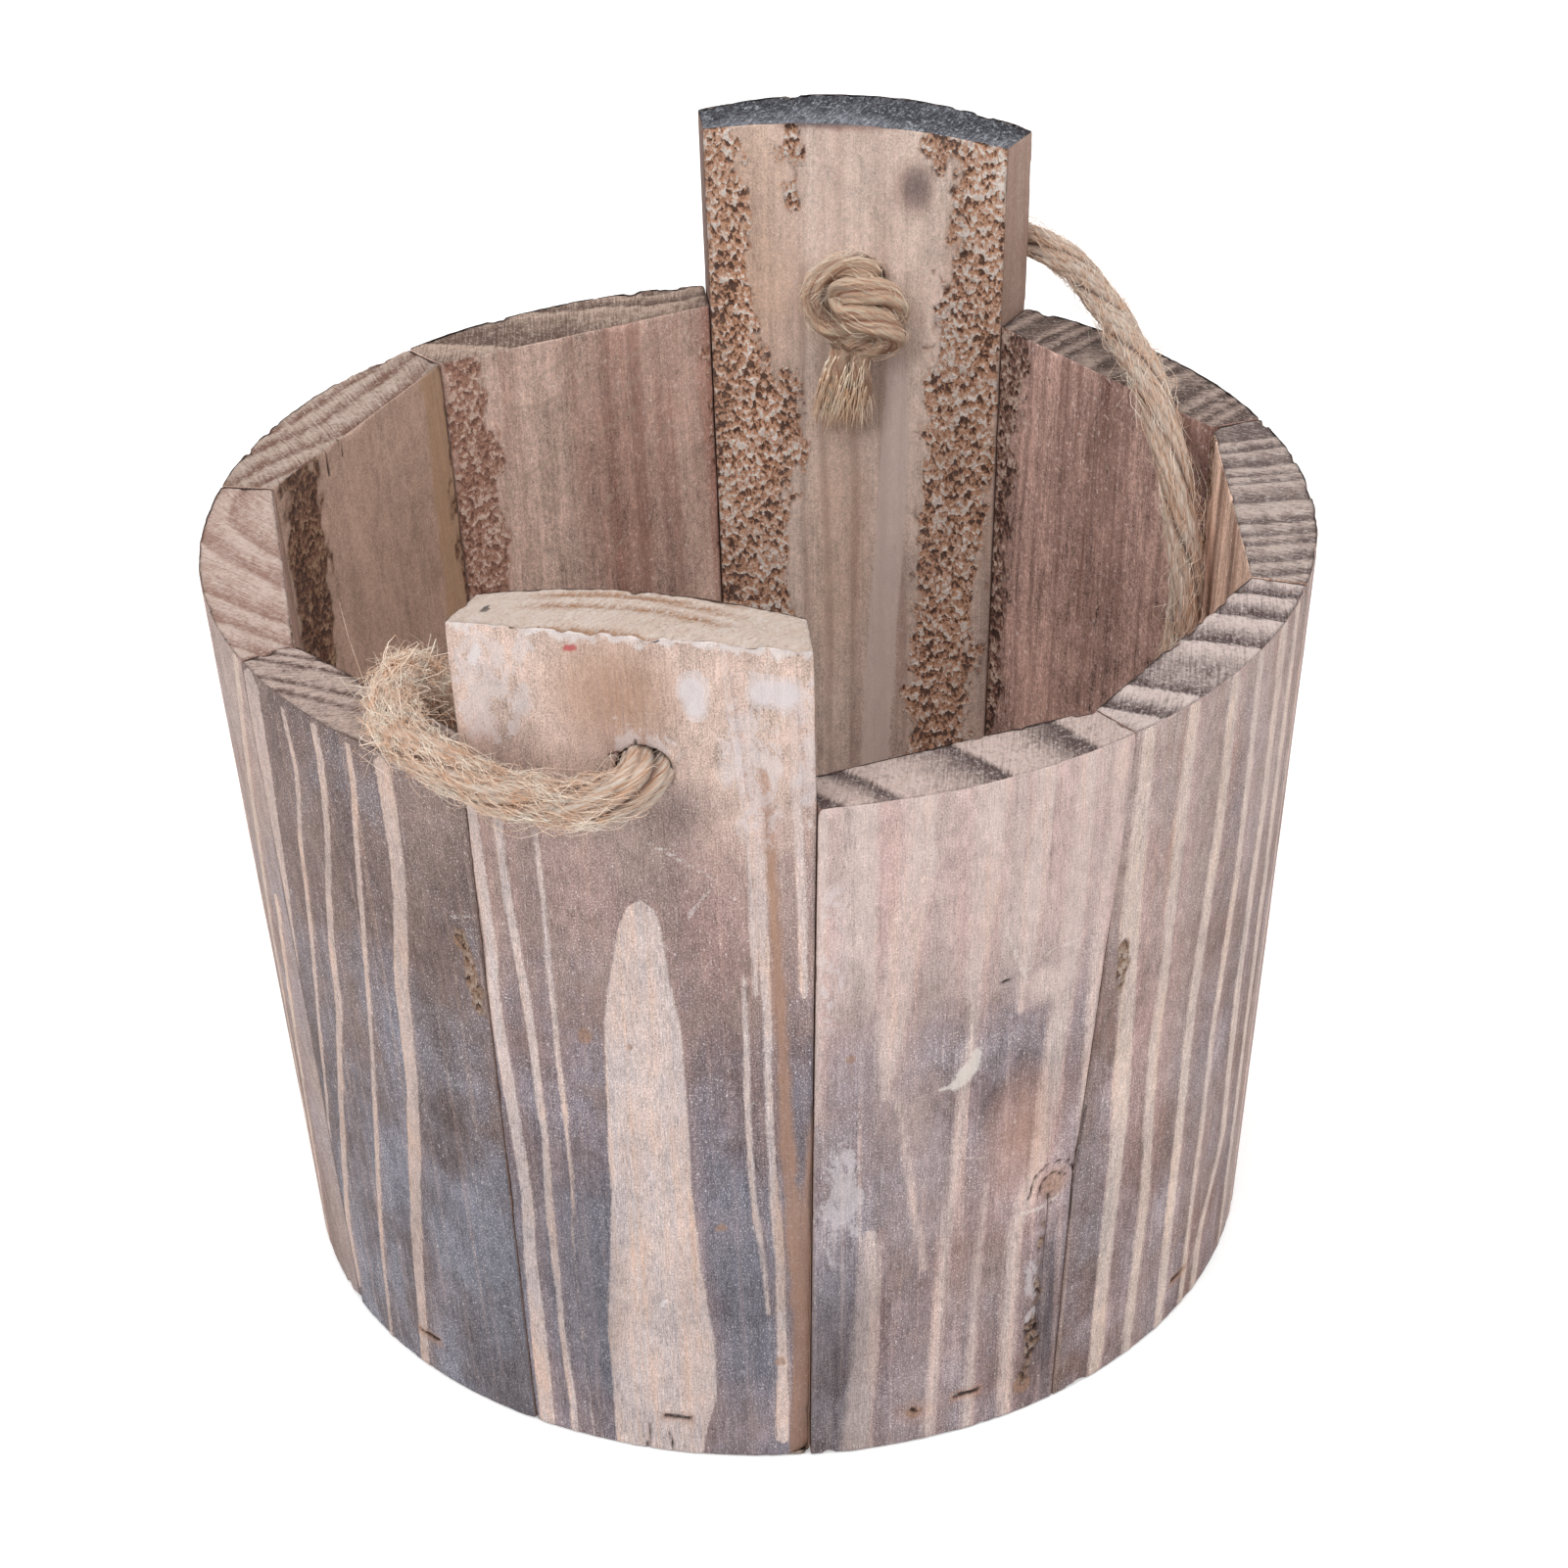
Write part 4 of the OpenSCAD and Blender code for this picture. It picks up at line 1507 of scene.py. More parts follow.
def evenly(line: Array, gap: float) -> Array:
    """Space a line's points evenly.

    Args:
        line: The line's points.
        gap: About how far apart they are to be.

    Returns:
        The new points.
    """
    run = np.concatenate([[0], np.cumsum(np.linalg.norm(np.diff(line, axis=0), axis=1))])
    at = np.linspace(0, run[-1], max(2, int(round(run[-1] / gap)) + 1))
    return np.stack([np.interp(at, run, line[:, k]) for k in range(3)], -1)


def carried_sides(line: Array) -> tuple[Array, Array, Array]:
    """Carry two side directions along a line without twisting them.

    Args:
        line: The line's points.

    Returns:
        The line's direction and the two sides at each point.
    """
    ahead = np.gradient(line, axis=0)
    ahead /= np.linalg.norm(ahead, axis=1)[:, None]
    side = np.zeros_like(line)
    n = np.array([0.3, 0.2, 1.0])
    for k, t in enumerate(ahead):
        n = n - (n @ t) * t
        n /= np.linalg.norm(n)
        side[k] = n
    return ahead, side, np.cross(ahead, side)


@dataclass(frozen=True)
class LaidRope:
    """Three soft strands laid together, as one closed skin.

    Attributes:
        diameter: Diameter over the strands.
        pitch: Length in which a strand goes once round.
        sides: Points round the skin.
        step: Length between rings.
        deep: How deep the grooves are, from 0 to 1.
        yarns: Number of yarns that show round the rope.
    """

    diameter: float
    pitch: float = 62.0
    sides: int = 48
    step: float = 0.8
    deep: float = 0.62
    yarns: int = 9

    def turned(self, run: Array) -> Array:
        """Give how far the strands have gone round at each length, in radians."""
        return 2 * math.pi * run / self.pitch

    def skin(self, line: Array, taper: Callable[[Array], Array] | None = None, seed: int = 1
             ) -> tuple[Array, list[Array], Array, Array]:
        """Lay the strands along a line.

        Args:
            line: The rope's middle, evenly spaced.
            taper: Gives the share of full thickness at each length.
            seed: Picks the unevenness.

        Returns:
            Vertices, faces, and the lay and strand fields.
        """
        ahead, side, other = carried_sides(line)
        run = np.concatenate([[0], np.cumsum(np.linalg.norm(np.diff(line, axis=0), axis=1))])
        theta = np.linspace(0, 2 * math.pi, self.sides, endpoint=False)
        s, th = np.meshgrid(run, theta, indexing="ij")
        third = 2 * math.pi / 3
        r0 = self.diameter / 2
        at = np.stack([s / 2.4, np.cos(th) * 1.3, np.sin(th) * 1.3], -1)
        wound = th + self.turned(s) + 0.22 * layered_noise(at * (0.16, 0.6, 0.6), seed + 5, 2)
        off = np.mod(wound + third / 2, third) - third / 2
        yarn = 2 * np.mod(wound * self.yarns / (2 * math.pi) + 0.5, 1) - 1
        e, strand_r = 0.44 * r0, 0.57 * r0
        round_r = e * np.cos(off) + np.sqrt(np.maximum(strand_r ** 2 - (e * np.sin(off)) ** 2, 0))
        r = r0 + (round_r - e - strand_r) * self.deep - 0.10 * r0 * np.abs(yarn) ** 3
        r = r + 0.06 * r0 * layered_noise(at, seed, 3)
        r = r + 0.05 * r0 * layered_noise(at * (0.7, 3.5, 3.5), seed + 3, 3)
        r = r * (1 if taper is None else taper(run)[:, None])
        ring = np.cos(th)[..., None] * side[:, None, :] + np.sin(th)[..., None] * other[:, None, :]
        p = line[:, None, :] + r[..., None] * ring
        lay = np.stack([s, r0 * np.cos(th), r0 * np.sin(th)], -1).reshape(-1, 3)
        groove = np.maximum((np.abs(off) / (third / 2)) ** 7, 0.62 * np.abs(yarn) ** 7)
        fields = np.stack([groove, s / run[-1], 0 * s], -1).reshape(-1, 3)
        n, m = len(line), self.sides
        at_ring, f = np.meshgrid(np.arange(n - 1) * m, np.arange(m), indexing="ij")
        g = (f + 1) % m
        skin = np.stack([at_ring + g, at_ring + m + g, at_ring + m + f, at_ring + f], -1).reshape(-1, 4)
        f, first, final, far = np.arange(m), n * m, n * m + 1, (n - 1) * m
        g = (f + 1) % m
        faces = [skin, np.stack([0 * f + first, f, g], -1), np.stack([0 * f + final, far + g, far + f], -1)]
        ends = np.stack([line[0] - ahead[0] * 0.25, line[-1] + ahead[-1] * 0.25])
        p = np.concatenate([p.reshape(-1, 3), ends])
        lay = np.concatenate([lay, [[0, 0, 0], [run[-1], 0, 0]]])
        fields = np.concatenate([fields, [[0.4, 0, 0], [0.4, 1, 0]]])
        return p, faces, lay, fields

    def piece(self, name: str, lines: Sequence[Array], material: bpy.types.Material, seed: int,
              taper: Callable[[Array], Array] | None = None) -> bpy.types.Object:
        """Make the skins of one or more ropes into a dressed piece.

        Args:
            name: The piece's name.
            lines: The middle of each rope.
            material: Its material.
            seed: Picks the unevenness.
            taper: Gives the share of full thickness at each length.

        Returns:
            The piece.
        """
        places, blocks, lays, strands, count = [], [], [], [], 0
        for k, line in enumerate(lines):
            p, faces, lay, strand = self.skin(evenly(line, self.step), taper, seed + k)
            blocks += [block + count for block in faces]
            count += len(p)
            places.append(p)
            lays.append(lay + ((seed + k) * 40.0, 0, 0))
            strands.append(strand)
        made = new_mesh(name, np.concatenate(places), blocks)
        store_vector(made, "lay", np.concatenate(lays))
        store_vector(made, "strand", np.concatenate(strands))
        made.data.materials.append(material)
        return made


def hairs(name: str, line: Array, thick: Array, material: bpy.types.Material, widest: float = 121.0
          ) -> bpy.types.Object:
    """Make three-sided hairs that taper to their tips along given lines.

    Args:
        name: The piece's name.
        line: Each hair's points, from root to tip.
        thick: Their radii at the root.
        material: Their material.
        widest: How far from the barrel's axis they may reach along Y.

    Returns:
        The piece.
    """
    count, joints = line.shape[:2]
    root = line[:, :1]
    near, far = np.abs(root[:, 0, 1]), np.abs(line[..., 1]).max(axis=1)
    shrink = np.clip((widest - near) / np.maximum(far - near, 1e-6), 0.05, 1)
    line = root + (line - root) * np.where(far > widest, shrink, 1)[:, None, None]
    ahead = np.gradient(line, axis=1)
    ahead /= np.maximum(np.linalg.norm(ahead, axis=2), 1e-9)[..., None]
    helper = np.where(np.abs(ahead[..., 2:3]) > 0.8, (1.0, 0, 0), (0, 0, 1.0))
    side = np.cross(ahead, helper)
    side /= np.linalg.norm(side, axis=2)[..., None]
    other = np.cross(ahead, side)
    radius = thick[:, None] * (1 - 0.75 * np.linspace(0, 1, joints)[None, :])
    corners = [2 * math.pi * k / 3 for k in range(3)]
    rings = [line + radius[..., None] * (math.cos(a) * side + math.sin(a) * other) for a in corners]
    p = np.stack(rings, axis=2).reshape(-1, 3)
    base = (np.arange(count) * joints * 3)[:, None]
    pattern = [[j * 3 + k, j * 3 + g, j * 3 + 3 + g, j * 3 + 3 + k]
               for j in range(joints - 1) for k, g in ((0, 1), (1, 2), (2, 0))]
    quads = (base[:, :, None] + np.array(pattern)[None]).reshape(-1, 4)
    last = (joints - 1) * 3
    caps = (base[:, :, None] + np.array([[2, 1, 0], [last, last + 1, last + 2]])[None]).reshape(-1, 3)
    made = new_mesh(name, p, [quads, caps])
    made.data.materials.append(material)
    return made


@dataclass
class RopeHandle:
    """The jute rope with its two overhand knots, their tails, and the fuzz on all of it.

    Attributes:
        rope_d: The rope's diameter.
        knot_rope_d: Its diameter where a knot pulls it tight.
        knot: The knot's route: right, up and away from the board.
        tail: The tail's route, in the same way.
        jute: How the rope looks.
        lightened_knot_jute: How the knots look.
        route: The rope's route from hole to hole, as in the part's source.
        steps: Steps to each span of the rope's route.
        knot_steps: Steps to each span of a knot's or tail's.
        swollen: How much thicker the rope is at the front hole.
        thinned: How much thinner it is where it comes up at the right.
        peel_most: How steeply a loose fibre can leave the rope, before its lift.
    """

    rope_d: float = 8.0
    knot_rope_d: float = 6.2
    knot: tuple[Triple, ...] = (
        (0.4, 0.2, -1.5), (1.2, 0.8, 1.8), (2, 3.7, 4), (-2.2, 4.5, 4.4), (-7.2, 1.2, 4.4),
        (-9.4, -3.8, 4), (-7.2, -9, 3.4), (-1.4, -10.4, 3.2), (4.6, -8.2, 3.4), (8, -4.4, 4.4),
        (6.4, -0.6, 6.8), (1.8, 1, 8.8), (-1.8, 0.6, 7.6), (-3, -1.8, 5.4), (-1.5, -4.3, 7.8),
        (2.2, -4.5, 9.6), (6.2, -6, 8.8), (8, -9, 6.4), (5, -11.8, 4.8), (0.8, -12.6, 4.6),
        (-1.4, -14.8, 4.6))
    tail: tuple[Triple, ...] = (
        (-1, -12.5, 5.6), (-1.9, -15.8, 5.2), (-2.5, -19, 4.7), (-3, -23, 3.9), (-3.6, -27, 3.2),
        (-4.3, -32, 2.6))
    jute: JuteFinish = JuteFinish()
    # A paler copy of the rope's jute for the knots and tails: painted light, for where they hang in the
    # barrel's shade.
    lightened_knot_jute: JuteFinish = JuteFinish(
        light=(1.0, 0.92, 0.81), tan=(1.0, 0.805, 0.66), shade=(0.76, 0.45, 0.30),
        hair_dark=(1.0, 0.865, 0.73), hair_light=(1.0, 0.95, 0.87))
    route: tuple[Triple, ...] = (
        (3.5, -91, 158), (3.5, -98.5, 158), (3.6, -105.5, 157.8), (2, -109.8, 157),
        (-2, -111.6, 155.5), (-9, -111.4, 153.8), (-18, -109.8, 153.3), (-26, -107.8, 154.4),
        (-33, -104.8, 155.8), (-39, -99.6, 156), (-43.6, -92, 155.4), (-46.4, -83.5, 155.2),
        (-46.2, -75.2, 154), (-44.4, -69, 147), (-41.5, -65.5, 137), (-36, -63.8, 121),
        (-29, -62.6, 105), (-18, -61.2, 91), (-4, -59, 82), (12, -54, 76),
        (28, -45, 74.5), (43, -31, 76), (56, -13, 80.5), (66, 4, 87.5),
        (73.6, 18.5, 98), (77, 27, 111), (77.8, 31, 124), (75.6, 38.5, 136),
        (71.6, 47.8, 146.5), (67, 56.8, 154), (60.8, 70, 157.2), (53.6, 85.4, 158),
        (46, 98.4, 159.2), (38, 104.4, 161.4), (29, 107.6, 162.6), (19, 110.6, 161.8),
        (9.6, 111.8, 159.6), (4.6, 110.2, 158.4), (2.6, 105.8, 158), (2.6, 99, 158),
        (2.6, 90.1, 158))

    steps: int = 16
    knot_steps: int = 14
    swollen: float = 0.26
    thinned: float = 0.10
    peel_most: float = 1.25

    def on_board(self, local: Array, i: int, off: float) -> Array:
        """Take places on a knot from its board's inner face to the barrel.

        Args:
            local: Places right, up and away from the board.
            i: The ear's place in the barrel.
            off: The hole's place across the ear.

        Returns:
            The places in the barrel's frame.
        """
        lean = math.atan(BARREL.lean)
        right, up = np.array([0, -1, 0]), np.array([math.sin(lean), 0, math.cos(lean)])
        away = np.array([-math.cos(lean), 0, math.sin(lean)])
        start = np.array([BARREL.inner_d(i, BARREL.hole_z), off, BARREL.hole_z])
        place = start + local[:, :1] * right + local[:, 1:2] * up + local[:, 2:] * away
        return place @ BARREL.place(i).T

    def fuzz(self, name: str, line: Array, radius: float, count: int, reach: Pair, seed: int,
             material: bpy.types.Material, lift: float = 1.0, curl: float = 0.10) -> bpy.types.Object:
        """Let loose fibres stand off a rope.

        Args:
            name: The piece's name.
            line: The rope's middle.
            radius: The rope's radius.
            count: Number of fibres.
            reach: Shortest and longest fibre.
            seed: Picks the fibres.
            material: Their material.
            lift: How steeply they leave the rope.
            curl: How much they curl.

        Returns:
            The piece.
        """
        rng = np.random.default_rng(seed)
        even = evenly(line, 0.5)
        _, side, other = carried_sides(even)
        t = np.linspace(0, 1, 7)[None, :]
        k = rng.integers(2, len(even) - 2, count)[:, None]
        lengths = (reach[0] + (reach[1] - reach[0]) * rng.random(count) ** 2.0)[:, None]
        way = rng.choice((-1.0, 1.0), count)[:, None]
        at = np.clip(k + way * lengths * t / 0.5, 0, len(even) - 1)
        low = np.minimum(at.astype(int), len(even) - 2)
        part = (at - low)[..., None]

        def between(values: Array) -> Array:
            """Read a value of the line between two of its points."""
            return values[low] * (1 - part) + values[low + 1] * part

        a = rng.uniform(0, 2 * math.pi, count)[:, None] + way * rng.normal(0.35, 0.5, (count, 1)) * t
        steep = np.minimum(np.abs(rng.normal(0, 1, (count, 1))), self.peel_most) * lift
        peel = steep * np.maximum(t - rng.uniform(-0.1, 0.8, (count, 1)), 0) ** 1.3
        wave = rng.normal(0, curl, (count, 3))[:, None] * np.sin(t * rng.uniform(3, 9, (count, 1)))[..., None]
        out = radius * 0.97 + peel * lengths * 0.55
        outward = np.cos(a)[..., None] * between(side) + np.sin(a)[..., None] * between(other)
        stray = wave + rng.normal(0, 0.25, (count, 1, 3)) * peel[..., None]
        places = between(even) + out[..., None] * outward + stray * lengths[..., None]
        return hairs(name, places, rng.uniform(0.045, 0.085, count) * (1 + 4 * curl) / 1.4, material)

    def tail_lines(self, i: int, off: float) -> list[Array]:
        """Draw the strands into which a knot's tail comes apart.

        Args:
            i: The ear's place in the barrel.
            off: The hole's place across the ear.

        Returns:
            The middle of each strand.
        """
        route = smooth_route(self.tail, self.knot_steps)
        lines = []
        for shift, away, far, sway in ((-3.2, 0.6, 0.84, 0.5), (-0.7, 1.5, 0.90, -0.4), (1.9, 0.9, 0.80, 0.4),
                                       (4.0, 0.0, 0.70, -0.5), (0.4, -0.6, 0.76, 0.3)):
            part = route[:int(len(route) * far)]
            t = np.linspace(0, 1, len(part))
            aside = shift * (0.85 + 0.40 * t) + sway * np.sin(5 * t)
            place = part + np.stack([aside, 0 * t, away * (0.7 + 0.2 * t)], -1)
            place[:, 2] = np.maximum(place[:, 2], 1.7)
            lines.append(self.on_board(place, i, off))
        return lines

    def frayed_tail(self, name: str, i: int, off: float, seed: int, material: bpy.types.Material
                    ) -> bpy.types.Object:
        """Untwist a knot's tail into strands of fibres that hang side by side.

        Args:
            name: The piece's name.
            i: The ear's place in the barrel.
            off: The hole's place across the ear.
            seed: Picks the fibres.
            material: Their material.

        Returns:
            The piece.
        """
        rng = np.random.default_rng(seed)
        route = smooth_route(self.tail, self.knot_steps)
        t = np.linspace(0, 1, 11)[None, :, None]
        groups = []
        for shift, lag, wide, count in ((-3.0, 1.2, 1.5, 60), (-0.4, 1.9, 1.6, 70), (2.3, 1.2, 1.6, 60),
                                        (3.6, 0.6, 1.4, 40), (0.0, 0.6, 3.8, 40)):
            start = rng.uniform(0.1, 0.6, (count, 1, 1))
            stop = start + rng.uniform(0.55, 0.98, (count, 1, 1))
            stop = np.minimum(stop, rng.uniform(0.84, 1.0, (count, 1, 1)))
            at = (start + (stop - start) * t) * (len(route) - 1)
            low = np.minimum(at.astype(int), len(route) - 2)
            place = route[low[..., 0]] * (1 - (at - low)) + route[low[..., 0] + 1] * (at - low)
            a = rng.uniform(0, 2 * math.pi, (count, 1, 1)) + at * 0.016
            r = wide * np.sqrt(rng.uniform(0.1, 1.0, (count, 1, 1))) * (1 + 0.55 * at / len(route))
            spread = 0.85 + 0.50 * at / len(route)
            aside, away = shift * spread + r * np.cos(a), lag * spread * 0.6 + r * np.sin(a)
            place = place + np.concatenate([aside, 0 * a, away], -1)
            place = place + rng.normal(0, 0.5, (count, 1, 3)) * t ** 3 * 1.6
            groups.append(place + 0.22 * np.sin(at * rng.uniform(0.08, 0.3, (count, 1, 1))))
        lines = np.concatenate(groups)
        lines[..., 2] = np.maximum(lines[..., 2], 0.3)
        world = self.on_board(lines.reshape(-1, 3), i, off).reshape(lines.shape)
        return hairs(name, world, rng.uniform(0.12, 0.22, len(lines)), material)

    def build(self) -> list[bpy.types.Object]:
        """Returns:
            The pieces.
        """
        jute, hair = self.jute.make("jute_rope_laid"), self.jute.make_hair("jute_fibre_loose")
        # The knots, tails and their fuzz take the paler copy of the jute, which is painted light.
        lightened_knot_jute = self.lightened_knot_jute.make("jute_knot_lightened")
        lightened_knot_hair = self.lightened_knot_jute.make_hair("jute_fibre_of_knot_lightened")
        line = smooth_route(self.route, self.steps)

        def swell(run: Array) -> Array:
            """Thicken the rope where it leaves the front ear, and thin it where it comes up at the right."""
            thick = 1 + self.swollen * (1 - smooth_step(12, 34, run))
            return thick - self.thinned * smooth_step(240, 280, run)

        def slack(run: Array) -> Array:
            """Thin the knot's first turn, which hangs loose."""
            return 1 - 0.26 * smooth_step(4, 9, run) * (1 - smooth_step(24, 32, run))

        def thin(run: Array) -> Array:
            """Thin a strand of the tail towards its frayed end."""
            return 1.05 - 0.6 * smooth_step(0.45, 1.0, run / run[-1])

        rope = LaidRope(self.rope_d).piece("handle_rope", [line], jute, 1, swell)
        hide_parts("rope_handle")
        # Each fuzz: first and last span, radius, number, lengths, seed, lift and curl
        r = self.rope_d / 2
        extras = [
            self.fuzz("rope_fuzz" + word, line[self.steps * first:self.steps * last], radius, count, reach,
                      seed, hair, lift, curl)
            for word, first, last, radius, count, reach, seed, lift, curl in (
                ("", 0, 24, r, 1800, (3.0, 12.0), 11, 0.16, 0.10),
                ("_in_front", 3, 14, r, 1700, (2.5, 15.0), 12, 0.26, 0.10),
                ("_at_right", 24, 38, self.rope_d * 0.43, 1400, (3.0, 14.0), 14, 0.34, 0.10),
                ("_at_rim", 9, 14, r, 900, (2.5, 13.0), 13, 0.75, 0.24))]
        ears = (("front", 0, BARREL.front_hole_off, 21), ("back", 5, BARREL.back_hole_off, 31))
        for word, i, off, seed in ears:
            placed = self.on_board(smooth_route(self.knot, self.knot_steps), i, off)
            shape = LaidRope(self.knot_rope_d, pitch=40.0, sides=44, step=0.5, deep=1.1, yarns=6)
            knot = shape.piece(f"{word}_knot", [placed], lightened_knot_jute, seed, slack)
            hanging = LaidRope(2.9, pitch=26.0, sides=24, step=0.5, deep=0.5, yarns=6)
            parts = self.tail_lines(i, off)
            strands = hanging.piece(f"{word}_tail_strands", parts, lightened_knot_jute, seed + 7, thin)
            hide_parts(f"rope_knot_{word}")
            tail = self.frayed_tail(f"{word}_tail", i, off, seed + 2, lightened_knot_hair)
            fluff = self.fuzz(f"{word}_knot_fuzz", placed[self.knot_steps:], self.knot_rope_d / 2, 420,
                              (3.0, 9.0), seed + 5, lightened_knot_hair, 0.25)
            extras += [knot, strands, tail, fluff]
        for piece in [rope, *extras]:
            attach(piece, "root")
        return [rope, *extras]


# The studio

@dataclass(frozen=True)
class PhotoCamera:
    """The camera that took the photograph, in millimetres."""

    place: Triple = (159.4, -690.3, 526.2)
    forward: Triple = (-0.18751, 0.83099, -0.52373)
    up: Triple = (-0.08695, 0.51705, 0.85153)
    lens: float = 97.51
    sensor: float = 36.0

    def build(self) -> None:
        """Set the camera up as the scene's own."""
        data = bpy.data.cameras.new("photo_camera")
        data.lens, data.sensor_width = self.lens, self.sensor
        data.clip_start, data.clip_end = 0.01, 50.0
        camera = bpy.data.objects.new("photo_camera", data)
        bpy.context.scene.collection.objects.link(camera)
        ahead, up = Vector(self.forward).normalized(), Vector(self.up)
        right = ahead.cross(up).normalized()
        up = right.cross(ahead)
        turn = Matrix((right, up, -ahead)).transposed().to_4x4()
        camera.matrix_world = Matrix.Translation(Vector(self.place) * MM) @ turn
        bpy.context.scene.camera = camera


@dataclass(frozen=True)
class Studio:
    """A white table under soft light."""

    floor_size: float = 8.0
    floor_drop: float = 0.0002
    sky: float = 0.80
    lamps: tuple[tuple[str, Triple, float, float], ...] = (
        ("key_lamp", (-0.9, -1.5, 1.7), 1.0, 13.0),
        ("fill_lamp", (1.5, -0.9, 1.3), 1.4, 7.0),
        ("top_lamp", (0.1, -0.35, 2.2), 1.2, 16.0),
    )

    def build(self) -> None:
        """Lay the floor, hang the lamps and light the world."""
        half, low = self.floor_size / 2 / MM, -self.floor_drop / MM
        corners = [(-half, -half, low), (half, -half, low), (half, half, low), (-half, half, low)]
        floor = new_mesh("studio_floor", np.array(corners), [[[0, 1, 2, 3]]], False)
        material, b = new_material("studio_white")
        card = b.node("ShaderNodeBsdfDiffuse", {}, {"Color": (0.93, 0.93, 0.93), "Roughness": 0.0})
        glow = b.node("ShaderNodeEmission", {}, {"Color": (1.0, 1.0, 1.0), "Strength": 0.35})
        seen = b.node("ShaderNodeLightPath", {}, {}, "Is Camera Ray")
        none = b.node("ShaderNodeEmission", {}, {"Color": (0.0, 0.0, 0.0), "Strength": 0.0})
        lit = b.node("ShaderNodeMixShader", {}, {0: seen, 1: none, 2: glow})
        both = b.node("ShaderNodeAddShader", {}, {0: card, 1: lit})
        b.node("ShaderNodeOutputMaterial", {}, {"Surface": both})
        floor.data.materials.append(material)
        for name, place, size, power in self.lamps:
            data = bpy.data.lights.new(name, "AREA")
            data.shape, data.size, data.energy = "DISK", size, power
            lamp = bpy.data.objects.new(name, data)
            bpy.context.scene.collection.objects.link(lamp)
            aim = Vector((0, 0, 0.09)) - Vector(place)
            lamp.matrix_world = Matrix.Translation(place) @ aim.to_track_quat("-Z", "Y").to_matrix().to_4x4()
        world = bpy.data.worlds.new("studio_sky")
        world.use_nodes = True
        bpy.context.scene.world = world
        b = Bench(world.node_tree)
        path = b.node("ShaderNodeLightPath").socket.node
        white = Shade(b, path.outputs["Is Camera Ray"])
        for word in ("Is Glossy Ray", "Is Transmission Ray"):
            white = white.most(Shade(b, path.outputs[word]))
        strength = white * (1 - self.sky) + self.sky
        sky = b.node("ShaderNodeBackground", {}, {"Color": (1.0, 1.0, 1.0), "Strength": strength})
        b.node("ShaderNodeOutputWorld", {}, {"Surface": sky})


# The boards, anticlockwise from the front ear

EAR_FINISH = FirFinish(
    unburnt=(0.82, 0.72, 0.67), warm=(0.8, 0.665, 0.58), pale=(0.815, 0.755, 0.745),
    brown=(0.485, 0.405, 0.4), grey=(0.47, 0.46, 0.505), raw=(0.66, 0.505, 0.405),
    end_light=(0.885, 0.8, 0.745), end_dark=(0.69, 0.51, 0.38), end_pale=(0.93, 0.885, 0.86),
    rose=(0.7, 0.57, 0.54), streaky=0.5, sawn=0.3)
WARM = FirFinish(
    unburnt=(0.83, 0.745, 0.7), pale=(0.85, 0.765, 0.71), warm=(0.79, 0.66, 0.58),
    end_light=(0.88, 0.78, 0.73), end_dark=(0.68, 0.53, 0.475), end_pale=(0.92, 0.85, 0.82))
RUSSET = FirFinish(
    rubbed=0.5, calm=0.8, inner=(0.845, 0.735, 0.68), inner_dark=(0.56, 0.405, 0.36),
    rose=(0.62, 0.42, 0.365), tear=0.4, end_light=(0.82, 0.71, 0.64), end_dark=(0.44, 0.34, 0.295),
    end_pale=(0.88, 0.8, 0.75), torn_tan=(0.63, 0.47, 0.4), torn_pit_shadow=(0.45, 0.31, 0.26),
    torn_pale=(0.68, 0.505, 0.43), torn_lip_highlight=(0.86, 0.76, 0.7))
ROSY = FirFinish(
    unburnt=(0.835, 0.755, 0.73), pale=(0.85, 0.775, 0.75), warm=(0.81, 0.69, 0.63),
    brown=(0.46, 0.37, 0.365), grey=(0.565, 0.535, 0.565), soft=0.7, calm=0.75, sawn=0.6,
    rose=(0.76, 0.625, 0.605), end_light=(0.89, 0.79, 0.75), end_dark=(0.37, 0.3, 0.29),
    end_pale=(0.94, 0.88, 0.86), wash=(0.885, 0.85, 0.82))
STRIPED = replace(
    ROSY, soft=0.36, calm=1, end_light=(0.93, 0.845, 0.82), pale=(0.85, 0.78, 0.745),
    warm=(0.8, 0.69, 0.62), brown=(0.45, 0.35, 0.325))
DARK = FirFinish(
    unburnt=(0.72, 0.62, 0.58), pale=(0.79, 0.71, 0.68), warm=(0.75, 0.63, 0.56), brown=(0.42, 0.355, 0.345),
    grey=(0.49, 0.49, 0.535), rose=(0.58, 0.48, 0.455), end_light=(0.84, 0.74, 0.695),
    end_dark=(0.41, 0.315, 0.285), end_pale=(0.9, 0.82, 0.785))
GREYED = FirFinish(
    rubbed=0.7, inner=(0.79, 0.65, 0.605), inner_dark=(0.46, 0.335, 0.3), end_light=(0.82, 0.72, 0.665),
    end_dark=(0.39, 0.315, 0.29), end_pale=(0.87, 0.8, 0.765), torn_tan=(0.53, 0.375, 0.315),
    torn_pit_shadow=(0.22, 0.14, 0.115), torn_pale=(0.67, 0.53, 0.47))
BROWNED = FirFinish(
    rubbed=0.7, inner=(0.94, 0.795, 0.71), inner_dark=(0.54, 0.405, 0.335), end_light=(0.86, 0.775, 0.73),
    end_dark=(0.46, 0.385, 0.37), end_pale=(0.9, 0.85, 0.83), torn_tan=(0.62, 0.46, 0.36),
    torn_pit_shadow=(0.22, 0.15, 0.12), torn_pale=(0.74, 0.6, 0.5))
